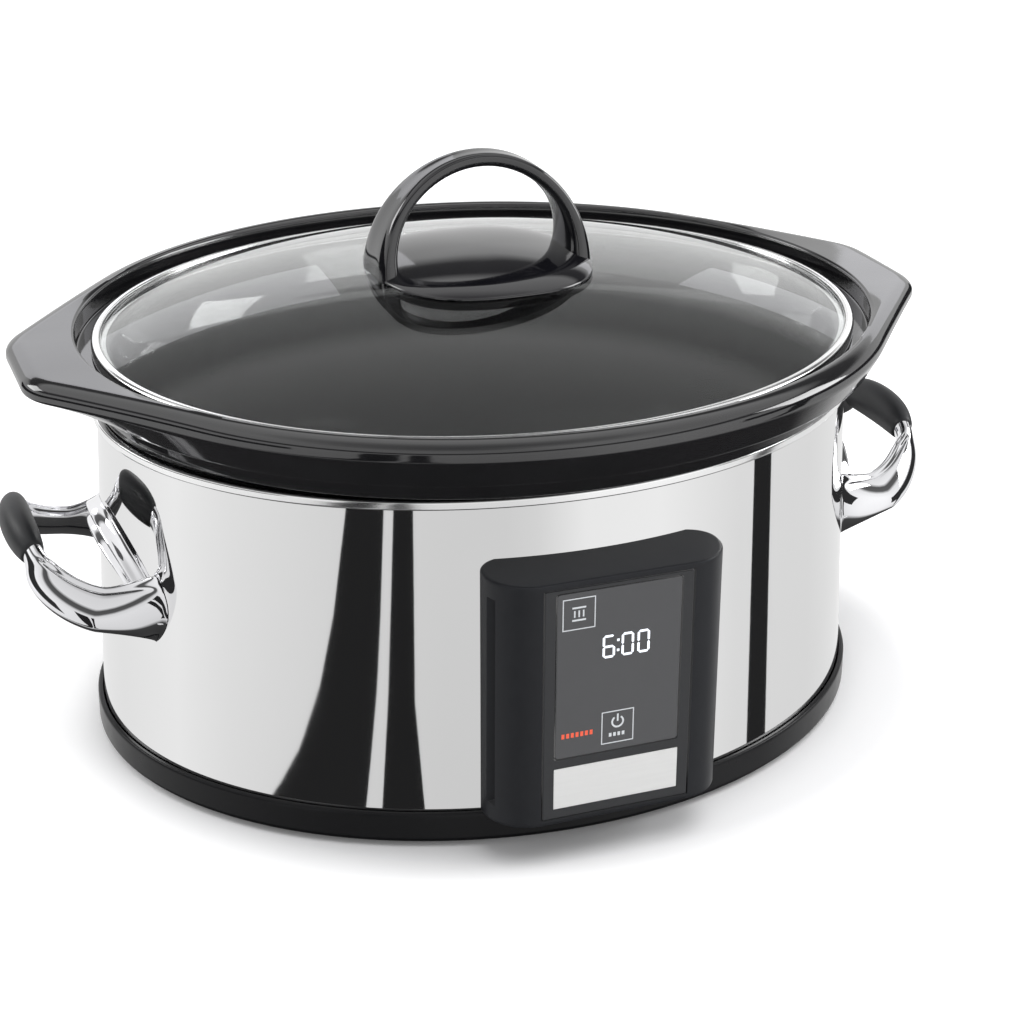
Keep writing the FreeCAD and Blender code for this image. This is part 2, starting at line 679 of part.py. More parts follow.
def housing():
    outer = rounded_prism(
        "housing_outer", "housing_width", FACE, "housing_round", "housing_bottom", HOUSING_HEIGHT
    )
    cavity = rounded_prism(
        "housing_cavity", "(housing_width - 2 * housing_wall)", f"({FACE} - housing_wall)",
        "(housing_round - housing_wall)", "(housing_bottom + housing_wall)",
        f"({HOUSING_HEIGHT} - 2 * housing_wall)",
    )
    front = primitive(
        "Box", "housing_front", Length="fascia_width + 2 * fit_gap", Width="2 * housing_wall",
        Height=f"{HOUSING_HEIGHT} - 2 * housing_wall", x="-fascia_width / 2 - fit_gap", y="-" + FACE,
        z="housing_bottom + housing_wall",
    )
    slots = [housing_slot(n, side) for side in (-1, 1) for n in range(int(size("slot_count")))]
    shell = cut("housing_shell", outer, group("housing_openings", [cavity, front, *slots]))
    start = f"housing_round - boss_radius - {FACE}"
    bosses = boss_cylinders("boss", "boss_radius", lambda level: start, FACE + " / 2")
    blank = cut("housing_seated", fuse("housing_blank", shell, *bosses), wrap_solid("housing_wrap", "0"))
    pilots = boss_cylinders("boss_pilot", "screw_radius + thread_gap", screw_tip, "screw_bite")
    node("control_housing", cut("housing_solid", blank, group("housing_pilots", pilots)))
    shanks = boss_cylinders("boss_shank", "screw_radius", screw_tip, "screw_bite")
    heads = boss_cylinders(
        "boss_head", "head_radius", lambda level: f"-({boss_seat(level)})", "head_height"
    )
    node("housing_screws", screw_group("housing_screw", shanks, heads))


def housing_slot(number, side):
    middle = (size("slot_count") - 1) / 2
    return primitive(
        "Box", f"housing_slot_{number}_{side + 1}", Length="2 * housing_wall", Width="slot_depth",
        Height="slot_height", x=f"{side} * housing_width / 2 - housing_wall",
        y=f"slot_inset - {FACE} - slot_depth / 2",
        z=f"{HOUSING_MIDDLE} + {number - middle} * slot_pitch - slot_height / 2",
    )


WINDOW_TOP = f"({HOUSING_TOP} - window_top)"
WINDOW_Z = f"({WINDOW_TOP} - window_height / 2)"
PLATE_Z = f"({WINDOW_TOP} - window_height - plate_gap - plate_height / 2)"
DIGIT_Z = f"({WINDOW_TOP} - digit_drop)"
POWER_FRONT = f"({PANEL_BACK} + board_sheet + board_gap)"
POWER_BACK = f"({POWER_FRONT} + board_sheet)"


def panel():
    """Front panel with the display window, the nameplate and the digit block behind the window."""
    height = f"{HOUSING_HEIGHT} - 2 * housing_wall - 2 * fit_gap"
    blank = rounded_plate(
        "fascia_blank", "fascia_width", height, "panel_round", "fascia_depth", y=PANEL_BACK,
        z=HOUSING_MIDDLE
    )
    loose = "fit_gap"
    window_y = f"window_depth - {FACE}"
    plate_y = f"plate_depth - {FACE}"
    recess = rounded_plate(
        "window_recess", f"window_width + {loose}", f"window_height + {loose}", "panel_round",
        "window_depth",
        y=window_y, z=WINDOW_Z,
    )
    dent = rounded_plate(
        "nameplate_recess", f"window_width + {loose}", f"plate_height + {loose}", "panel_round",
        "plate_depth",
        y=plate_y, z=PLATE_Z,
    )
    hole = digit_box("digit_hole", "fit_gap")
    node("control_fascia", cut("fascia_solid", blank, group("fascia_cuts", [recess, dent, hole])))
    window = rounded_plate(
        "window", "window_width", "window_height", "panel_round", "window_depth", y=window_y, z=WINDOW_Z
    )
    node("display_window", window)
    plate = rounded_plate(
        "plate", "window_width", "plate_height", "panel_round", "plate_depth", y=plate_y, z=PLATE_Z
    )
    node("nameplate", plate)
    node("display_module", digit_box("digit_block", "0"))


def digit_box(name, loose):
    return primitive(
        "Box", name, Length=f"digit_width + 2 * {loose}", Width="fascia_depth - window_depth",
        Height=f"digit_height + 2 * {loose}", x=f"digit_x - digit_width / 2 - {loose}",
        y=f"window_depth - {FACE}", z=f"{DIGIT_Z} - digit_height / 2 - {loose}",
    )


def boards():
    touch = rounded_plate(
        "touch", "board_width", "touch_height", "panel_round", "board_sheet",
        y=f"{PANEL_BACK} + board_sheet",
        z=HOUSING_MIDDLE,
    )
    node("touch_board", touch)
    power = rounded_plate(
        "power", "board_width", "power_height", "panel_round", "board_sheet", y=POWER_BACK, z=HOUSING_MIDDLE
    )
    node("power_board", power)
    places = corners("(board_width / 2 - spacer_inset)", "(power_height / 2 - spacer_inset)")
    spacers = [
        primitive(
            "Cylinder", f"spacer_{n}", turn=((1, 0, 0), -90), Radius="spacer_radius", Height="board_gap",
            x=x, y=f"{PANEL_BACK} + board_sheet", z=f"{HOUSING_MIDDLE} + ({z})",
        )
        for n, (x, z) in enumerate(places)
    ]
    node("board_spacers", group("spacers", spacers))
    upper, lower = f"({HOUSING_MIDDLE} + part_upper)", f"({HOUSING_MIDDLE} - part_lower)"
    node("relay", component("relay_box", "relay_width", "relay_height", "-part_x", upper))
    node("mains_transformer", component("coil_box", "coil_width", "coil_height", "part_x", upper))
    turn = ((1, 0, 0), -90)
    can = primitive(
        "Cylinder", "can", turn=turn, Radius="can_radius", Height="part_depth", x="-part_x", y=POWER_BACK,
        z=lower
    )
    node("capacitor", can)
    horn = primitive(
        "Cylinder", "horn", turn=turn, Radius="buzzer_radius", Height="buzzer_depth", x="part_x",
        y=POWER_BACK,
        z=lower,
    )
    node("buzzer", horn)


def component(name, width, height, middle, level):
    return primitive(
        "Box", name, Length=width, Width="part_depth", Height=height, x=f"{middle} - {width} / 2",
        y=POWER_BACK, z=f"{level} - {height} / 2",
    )


def side_handles():
    """Chrome bar on a crescent backplate, with a black grip, on each end of the oval."""
    bar = DOC.addObject("Part::Feature", "handle_bar")
    bar.Shape = swept_bar(handle_stations())
    sleeve = DOC.addObject("Part::Feature", "grip_sleeve")
    sleeve.Shape = swept_bar(grip_stations())
    pilots = group(
        "handle_pilots",
        handle_cylinders("handle_pilot", "screw_radius + thread_gap", handle_seat(), "screw_bite"),
    )
    seated = cut("bar_seated", bar, wrap_solid("bar_wrap", "plate_sheet + fit_gap / 2"))
    front = cut("handle_front", seated, pilots)
    right = fuse("handle_right", front, mirrored("handle_rear", front, (0, 1, 0)))
    node("side_handle_right", right)
    plate = backplate()
    node("handle_plate_right", plate)
    node("handle_plate_left", mirrored("plate_left", plate))
    whole_bar = fuse("handle_core", bar, mirrored("handle_core_rear", bar, (0, 1, 0)))
    whole_sleeve = fuse("grip_blank", sleeve, mirrored("grip_rear", sleeve, (0, 1, 0)))
    grip = node("handle_grip_right", cut("grip_right", whole_sleeve, whole_bar))
    shanks = handle_cylinders("handle_shank", "screw_radius", handle_seat(), "screw_bite")
    heads = handle_cylinders("handle_head", "head_radius", f"{handle_seat()} - head_height", "head_height")
    right_screws = screw_group("handle_screw", shanks, heads)
    node("side_handle_left", mirrored("handle_left", right))
    node("handle_grip_left", mirrored("grip_left", grip))
    left_screws = mirrored("handle_screws_left", right_screws)
    node("handle_screws", group("handle_screws_all", [right_screws, left_screws]))


def backplate():
    """Crescent with a round pad at each tip, bent to the wrap: a drilled half and its mirror image."""
    shell = cut("plate_shell", wrap_solid("plate_outside", "plate_sheet"), wrap_solid("plate_wrap", "0"))
    pads = handle_cylinders("pad", "pad_depth", "0", "liner_length")
    near = primitive(
        "Box", "front_space", Length="liner_length", Width="liner_width", Height="plate_rise",
        y="-liner_width",
    )
    crescent = common("plate_blank", shell, fuse("plate_prism", crescent_prism(), *pads), near)
    holes = handle_cylinders("plate_hole", "screw_radius + thread_gap", "0", "liner_length")
    front = cut("plate_front", crescent, group("plate_holes", holes))
    return fuse("backplate", front, mirrored("plate_rear", front, (0, 1, 0)))


def mirrored(name, source, normal=(1, 0, 0)):
    thing = DOC.addObject("Part::Mirroring", name)
    thing.Source = source
    thing.Normal = FreeCAD.Vector(*normal)
    return thing


def handle_path():
    """Line of the right handle from its front pad round the grip to its rear pad."""
    span, foot = size("handle_span"), size("handle_foot")
    rise, bow = size("handle_rise"), size("handle_bow")
    length, width = outline_sizes("shell_room")
    wall = length * math.sqrt(1 - (span / width) ** 2)
    out = length + size("handle_reach")
    half = size("grip_length") / 2
    quarter = (
        (wall - size("bar_start"), span, foot),
        ((wall + out) / 2, span, foot),
        (out - bow, (span + 3 * half) / 4, (foot + rise) / 2),
        (out - bow, half, rise - bow),
        (out, half / 2, rise),
    )
    front = [FreeCAD.Vector(x, -y, z) for x, y, z in quarter]
    rear = [FreeCAD.Vector(x, y, z) for x, y, z in reversed(quarter)]
    line = Part.BSplineCurve()
    line.buildFromPoles(front + rear, False, 3)
    return line


def swept_bar(stations):
    """Loft through upright ellipses set square to the handle's line."""
    wires = []
    for place, tangent, half_width, half_depth in stations:
        up = FreeCAD.Vector(0, 0, 1) - tangent * tangent.z
        up.normalize()
        across = tangent.cross(up)
        ring = Part.Ellipse(place + up * half_depth, place + across * half_width, place)
        wires.append(Part.Wire(ring.toShape()))
    return Part.makeLoft(wires, True, True)


def station(line, share, half_width, half_depth):
    first, last = line.FirstParameter, line.LastParameter
    at = first + (last - first) * share
    tangent = line.tangent(at)[0]
    return line.value(at), tangent, half_width, half_depth


def handle_stations():
    """Sections from the front pad to the middle, thick at the wall and slim under the grip."""
    line = handle_path()
    found = []
    for n in range(BAR_STATIONS):
        share = n / (BAR_STATIONS - 1)
        pad = (1 - share) ** 3
        half_width = size("arm_width") + (size("pad_width") - size("arm_width")) * pad
        half_depth = size("arm_depth") + (size("pad_depth") - size("arm_depth")) * pad
        found.append(station(line, share * MIDDLE, half_width, half_depth))
    return found


def grip_stations():
    """Sections of the grip's front half, over the middle of the handle's line."""
    line = handle_path()
    half = size("grip_length") / 2
    out = outline_sizes("shell_room")[0] + size("handle_reach")
    start = line.parameter(FreeCAD.Vector(out, -half, size("handle_rise")))
    share = (start - line.FirstParameter) / (line.LastParameter - line.FirstParameter)
    found = []
    for n in range(GRIP_STATIONS):
        along = n / (GRIP_STATIONS - 1)
        swell = 1 - size("grip_taper") * (1 - math.sin(math.pi / 2 * along))
        place = share + (MIDDLE - share) * along
        found.append(station(line, place, size("grip_width") * swell, size("grip_depth") * swell))
    return found


def crescent_prism():
    """Crescent between two arcs that share their tips, extruded along X."""
    arcs = []
    for name, drop, rise in (
        ("crescent_outer", "plate_drop", "plate_rise"),
        ("crescent_inner", "(plate_drop - plate_band)", "(plate_rise - plate_band)"),
    ):
        radius = f"((plate_reach^2 + {drop}^2) / (2 * {drop}))"
        disc = primitive(
            "Cylinder", name, turn=((0, 1, 0), 90), Radius=radius, Height="liner_length",
            z=f"{rise} - {radius}"
        )
        arcs.append(disc)
    return cut("crescent", *arcs)


def crock():
    bottom = f"({LINER_FLOOR} + crock_under)"
    toe = f"({bottom} + crock_toe)"
    skin = "(-crock_gap)"
    body = oval_loft(
        "crock_body",
        (*grown(liner_half(bottom), f"{skin} - crock_toe"), bottom),
        (*grown(liner_half(toe), skin), toe),
        (*grown(LINER_HIGH, skin), COLLAR_FOOT),
    )
    head = DOC.addObject("Part::Feature", "crock_head")
    head.Shape = crock_head()
    floor = f"({bottom} + crock_floor)"
    heel = f"({floor} + crock_toe)"
    neck = f"({LID_LEDGE} - throat_depth)"
    inside = "(-crock_gap - crock_wall)"
    well = oval_loft(
        "crock_well",
        (*grown(liner_half(floor), f"{inside} - crock_toe"), floor),
        (*grown(liner_half(heel), inside), heel),
        (*grown(liner_half(neck), inside), neck),
        (*grown(LID, "-lid_land"), LID_LEDGE),
    )
    recess = oval_block("crock_recess", *grown(LID, "lid_groove"), LID_LEDGE, "lid_seat + crest_rise")
    node("crock", cut("crock_solid", fuse("crock_blank", body, head), group("crock_cuts", [well, recess])))


def crock_head():
    """Collar and rim: rings of points at rising levels, joined by ruled faces."""
    shrink = size("skirt_step") + size("wrap_taper") - size("trim_outset") + size("collar_seat")
    level = trim_top() + size("lift_gap")
    lid = outline_sizes("lid_over")
    rim = tuple(half + size("lid_groove") for half in outline_sizes("lid_over", "rim_land"))
    rings = [oval_points(outline_sizes("shell_room"), shrink, level)]
    for rise, inset in (
        ("collar_rise", size("collar_inset")),
        ("collar_height", size("collar_inset") - size("collar_flare")),
        ("ridge_rise", size("ridge_inset")),
    ):
        level += size(rise)
        rings.append(oval_points(rim, inset, level))
    for rise, inset in (("side_height", 0.0), ("edge_height", 0.0), ("crest_rise", size("crest_inset"))):
        level += size(rise)
        rings.append(tab_points(rim, inset, level))
    rings.append(oval_points(lid, -size("lid_groove"), level - size("crest_dip")))
    return Part.makeLoft([closed_curve(points) for points in rings], True, True)


def trim_top():
    return sum(size(name) for name in ("foot_drop", "base_floor", "under_room", "liner_depth"))


def directions():
    """Angles round the oval, closer together at its ends."""
    for n in range(OUTLINE_POINTS):
        turn = 2 * math.pi * n / OUTLINE_POINTS
        yield turn - END_CROWDING * math.sin(2 * turn)


def oval_radius(halves, inset, angle):
    length, width = (half - inset for half in halves)
    return 1 / math.hypot(math.cos(angle) / length, math.sin(angle) / width)


def oval_points(halves, inset, height):
    return [polar(angle, oval_radius(halves, inset, angle), height) for angle in directions()]


def polar(angle, radius, height):
    return FreeCAD.Vector(radius * math.cos(angle), radius * math.sin(angle), height)


def tab_points(halves, inset, height):
    """Oval with two end tabs; the tabs hang lower the further they reach out."""
    reach = size("tab_reach")
    points = []
    for angle in directions():
        radius = tab_radius(halves, inset, angle)
        beyond = radius - oval_radius(halves, inset, angle)
        points.append(polar(angle, radius, height - size("tab_droop") * beyond / reach))
    return points


def tab_radius(halves, inset, angle):
    """Distance to the outline: straight end, round corner, tangent line, then the oval."""
    c, s = abs(math.cos(angle)), abs(math.sin(angle))
    length, width = (half - inset for half in halves)
    corner = size("tab_round") - inset
    centre = (halves[0] + size("tab_reach") - size("tab_round"), size("tab_flat"))
    normal = tangent_normal(length, width, centre, corner)
    n, m = math.cos(normal), math.sin(normal)
    support = centre[0] * n + centre[1] * m + corner
    from_end = math.atan2(centre[1], centre[0] + corner)
    from_corner = math.atan2(centre[1] + corner * m, centre[0] + corner * n)
    from_line = math.atan2(width ** 2 * m, length ** 2 * n)
    here = math.atan2(s, c)
    if here < from_end:
        return (centre[0] + corner) / c
    if here < from_corner:
        along = centre[0] * c + centre[1] * s
        return along + math.sqrt(along ** 2 - centre[0] ** 2 - centre[1] ** 2 + corner ** 2)
    if here < from_line:
        return support / (n * c + m * s)
    return oval_radius(halves, inset, angle)


def tangent_normal(length, width, centre, corner):
    """Direction in which the oval and the corner reach equally far, by halving."""
    low, high = 0.0, math.pi / 2
    for _ in range(HALVINGS):
        middle = (low + high) / 2
        c, s = math.cos(middle), math.sin(middle)
        if centre[0] * c + centre[1] * s + corner > math.hypot(length * c, width * s):
            low = middle
        else:
            high = middle
    return low


def closed_curve(points):
    curve = Part.BSplineCurve()
    curve.interpolate(Points=points, PeriodicFlag=True)
    return Part.Wire(curve.toShape())


GLASS = grown(LID, "-glass_lap")
GLASS_EDGE = f"({LID_FOOT} + ring_height - ring_lip)"
CAP_HEIGHT = "(dome_rise / (1 - sqrt(1 - dome_share^2)))"
CAP_Z = f"({GLASS_EDGE} - {CAP_HEIGHT} * sqrt(1 - dome_share^2))"
DOME_TOP = f"({GLASS_EDGE} + dome_rise)"
KNOB_CAP = "(knob_dome / (1 - sqrt(1 - knob_share^2)))"


def glass_body(name, sheet):
    """Ellipsoid of the lid's dome, drawn in by `sheet`."""
    wide, deep = (f"{half} / dome_share - {sheet}" for half in GLASS)
    return primitive(
        "Ellipsoid", name, Radius1=f"{CAP_HEIGHT} - {sheet}", Radius2=wide, Radius3=deep, z=CAP_Z
    )


def lid():
    outside = glass_body("glass_outside", "0")
    shell = cut("glass_shell", outside, glass_body("glass_inside", "glass_sheet"))
    blank = oval_block("glass_blank", *GLASS, LID_FOOT, "dome_rise + ring_height")
    dome = common("glass_dome", shell, blank)
    hole = primitive(
        "Cylinder", "glass_hole", Radius="knob_screw + fit_gap", Height="3 * glass_sheet",
        z=f"{DOME_TOP} - 2 * glass_sheet",
    )
    glass = node("lid_glass", cut("glass_drilled", dome, hole))
    ring = bevelled_ring("lid_ring", LID, "ring_width", "ring_round", LID_FOOT, "ring_height")
    node("lid_rim", cut("lid_ring_seated", ring, dome))
    plate = oval_block(
        "knob_plate", "knob_length / 2", "knob_width / 2", f"{DOME_TOP} - ring_height",
        "ring_height + knob_dome",
    )
    bulge = primitive(
        "Ellipsoid", "knob_bulge", Radius1=KNOB_CAP, Radius2="knob_length / 2 / knob_share",
        Radius3="knob_width / 2 / knob_share",
        z=f"{DOME_TOP} - knob_edge - {KNOB_CAP} * sqrt(1 - knob_share^2)",
    )
    blank = fuse("knob_blank", common("knob_base", plate, bulge), arch())
    pilot = primitive(
        "Cylinder", "knob_pilot", Radius="knob_screw + thread_gap", Height="knob_thread + glass_sheet",
        z=f"{DOME_TOP} - glass_sheet",
    )
    node("lid_handle", cut("knob_solid", blank, group("knob_cuts", [outside, pilot])))
    under = f"({DOME_TOP} - glass_sheet - fit_gap / 2)"
    disc = primitive(
        "Cylinder", "washer_disc", Radius="washer_radius", Height="washer_sheet",
        z=f"{under} - washer_sheet",
    )
    bore = primitive(
        "Cylinder", "washer_bore", Radius="knob_screw + thread_gap", Height="washer_sheet",
        z=f"{under} - washer_sheet",
    )
    node("lid_washer", cut("washer", disc, bore))
    shank = primitive(
        "Cylinder", "knob_shank", Radius="knob_screw",
        Height=f"{DOME_TOP} + knob_thread - {under} + washer_sheet",
        z=f"{under} - washer_sheet",
    )
    head = primitive(
        "Cylinder", "knob_screw_head", Radius="knob_head", Height="head_height",
        z=f"{under} - washer_sheet - head_height",
    )
    node("lid_handle_screw", fuse("knob_screw_solid", shank, head))


def arch():
    """Half ring in the XZ plane, narrower at its top than at its feet."""
    middle = f"({DOME_TOP} - arch_sink)"
    turn = ((1, 0, 0), 90)
    discs = [
        primitive(
            "Cylinder", name, turn=turn, Radius=radius, Height="2 * arch_foot", y="arch_foot", z=middle
        )
        for name, radius in (("arch_outer", "arch_radius"), ("arch_inner", "arch_radius - arch_sheet"))
    ]
    wedge = primitive(
        "Wedge", "arch_wedge", turn=turn, Xmin="-arch_radius", Xmax="arch_radius", X2min="-arch_radius",
        X2max="arch_radius", Zmin="-arch_foot / 2", Zmax="arch_foot / 2", Z2min="-arch_top / 2",
        Z2max="arch_top / 2", Ymin="0", Ymax="arch_radius", z=middle,
    )
    return common("arch_solid", cut("arch_ring", *discs), wedge)


def check():
    """Stop before anything is written if an object failed or a sub-part isn't a valid solid."""
    for thing in DOC.Objects:
        if "Invalid" in thing.State or "Error" in thing.State:
            raise RuntimeError(f"{thing.Name} failed: {thing.State}")
    for thing in NODES:
        shape = thing.Shape
        if shape.isNull() or not shape.isValid() or not shape.Solids:
            raise RuntimeError(f"{thing.Label} is not a valid solid")


def export():
    os.makedirs("parts", exist_ok=True)
    for thing in NODES:
        thing.Shape.exportStep(f"parts/{thing.Label}.step")
        count = len(thing.Shape.Solids)
        print(f"{thing.Label}: {count} solid{'s' if count > 1 else ''}, {thing.Shape.Volume:.0f} mm3")


def build():
    fill_sheet()
    base()
    wrap()
    liner()
    heater()
    supply()
    housing()
    panel()
    boards()
    side_handles()
    crock()
    lid()
    DOC.recompute()
    check()
    export()


build()
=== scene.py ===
import json
import math

import bmesh
import bpy
import numpy as np
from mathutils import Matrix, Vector

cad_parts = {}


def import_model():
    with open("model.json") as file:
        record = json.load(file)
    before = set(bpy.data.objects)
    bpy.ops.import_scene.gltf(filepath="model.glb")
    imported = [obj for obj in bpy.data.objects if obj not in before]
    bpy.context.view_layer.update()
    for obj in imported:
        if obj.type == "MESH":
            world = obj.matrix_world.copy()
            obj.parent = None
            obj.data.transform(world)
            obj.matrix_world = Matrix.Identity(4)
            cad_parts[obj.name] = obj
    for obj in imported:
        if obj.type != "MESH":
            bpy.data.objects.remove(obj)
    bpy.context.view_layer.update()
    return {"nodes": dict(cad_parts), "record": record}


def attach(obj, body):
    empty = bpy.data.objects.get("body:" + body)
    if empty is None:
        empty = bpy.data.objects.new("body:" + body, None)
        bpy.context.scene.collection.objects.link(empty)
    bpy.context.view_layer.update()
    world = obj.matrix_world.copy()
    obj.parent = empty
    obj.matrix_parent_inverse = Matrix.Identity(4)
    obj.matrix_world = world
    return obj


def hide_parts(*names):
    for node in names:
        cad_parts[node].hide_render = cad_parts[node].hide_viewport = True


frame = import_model()

# Pieces are measured in millimetres in the CAD frame, and scaled to metres when their mesh is made.
# The camera, the floor, the cards and the lamps are placed in metres.
MM = 0.001
OVAL_POINTS = 320
END_CROWDING = 0.35
TURN = np.linspace(0, 2 * math.pi, OVAL_POINTS, endpoint=False)
# The points of a ring lie closer together at the oval's ends, where the crock's tabs are.
ANGLES = TURN - END_CROWDING * np.sin(2 * TURN)

# Ovals are half sizes along X and along Y, and heights are above the standing surface.
BASE = (172.2, 141.5)
WRAP_LOW, WRAP_HIGH = (169.8, 139.1), (164.6, 133.9)
WRAP_FOOT, WRAP_TOP, WRAP_SHEET, TRIM_TOP = 10.5, 144.5, 0.8, 148.2
LINER_HIGH, LINER_LOW, LINER_FLOOR, LINER_SHEET = (156.5, 127.5), (144.0, 115.0), 27.2, 1.0
RIM = (179.0, 160.95)
LID = (165.0, 143.5)
GLASS = (161.5, 140.0)
GLASS_CENTRE, GLASS_RISE, GLASS_SHARE, GLASS_SHEET = 113.05, 87.45, 0.7, 3.5
TAB_END, TAB_FLAT, TAB_ROUND, TAB_DROOP = 198.5, 18.0, 28.0, 1.5
# The front of the control housing, ahead of the middle.
FACE = 160.0
HOUSING_FOOT, HOUSING_TOP = 19.5, 123.3
WINDOW_Z, PLATE_Z, PANEL_Z = 83.5, 35.25, 71.4
INLET_Z = 34.0

CAMERA_PLACE, CAMERA_AIM = (-0.3056, -0.8485, 0.4841), (0.0, 0.0, 0.1225)
CAMERA_LENS, CAMERA_SENSOR, CAMERA_SHIFT = 77.73, 36.0, (0.0341, -0.0822)
CARD_DISTANCE, CARD_COLUMNS = 2.5, 9
FLOOR_REACH = 12.0


# ---------------------------------------------------------------- camera

def camera():
    """View of the photo, fitted to its ovals."""
    data = bpy.data.cameras.new("camera")
    data.lens, data.sensor_width = CAMERA_LENS, CAMERA_SENSOR
    data.shift_x, data.shift_y = CAMERA_SHIFT
    cam = bpy.data.objects.new("camera", data)
    bpy.context.scene.collection.objects.link(cam)
    cam.location = CAMERA_PLACE
    aim = Vector(CAMERA_AIM) - cam.location
    cam.rotation_euler = aim.to_track_quat("-Z", "Y").to_euler()
    bpy.context.scene.camera = cam


# ---------------------------------------------------------------- materials

def surface(name, color, rough, spread=0.02, patch=40.0, grain=900.0, relief=0.0, tint=0.0,
            stretch=(1.0, 1.0, 1.0), **sockets):
    """Principled material whose colour, roughness and relief vary over the surface."""
    mat = bpy.data.materials.new(name)
    mat.use_nodes = True
    tree = mat.node_tree
    bsdf = tree.nodes["Principled BSDF"]
    for socket, value in sockets.items():
        bsdf.inputs[socket.replace("_", " ")].default_value = value
    place = tree.nodes.new("ShaderNodeTexCoord").outputs["Object"]
    mapping = tree.nodes.new("ShaderNodeMapping")
    mapping.inputs["Scale"].default_value = stretch
    tree.links.new(place, mapping.inputs["Vector"])

    def noise(scale, detail):
        node = tree.nodes.new("ShaderNodeTexNoise")
        node.inputs["Scale"].default_value = scale
        node.inputs["Detail"].default_value = detail
        tree.links.new(mapping.outputs["Vector"], node.inputs["Vector"])
        return node.outputs["Fac"]

    patches = noise(patch, 4.0)
    level = tree.nodes.new("ShaderNodeMapRange")
    level.inputs["To Min"].default_value = max(rough - spread, 0.0)
    level.inputs["To Max"].default_value = rough + spread
    tree.links.new(patches, level.inputs["Value"])
    tree.links.new(level.outputs["Result"], bsdf.inputs["Roughness"])
    if tint:
        mix = tree.nodes.new("ShaderNodeMix")
        mix.data_type = "RGBA"
        mix.inputs["A"].default_value = (*(c * (1 - tint) for c in color), 1.0)
        mix.inputs["B"].default_value = (*(min(c * (1 + tint), 1.0) for c in color), 1.0)
        tree.links.new(patches, mix.inputs["Factor"])
        tree.links.new(mix.outputs["Result"], bsdf.inputs["Base Color"])
    else:
        bsdf.inputs["Base Color"].default_value = (*color, 1.0)
    if relief:
        bump = tree.nodes.new("ShaderNodeBump")
        bump.inputs["Strength"].default_value = 1.0
        bump.inputs["Distance"].default_value = relief * MM
        tree.links.new(noise(grain, 3.0), bump.inputs["Height"])
        tree.links.new(bump.outputs["Normal"], bsdf.inputs["Normal"])
    return mat


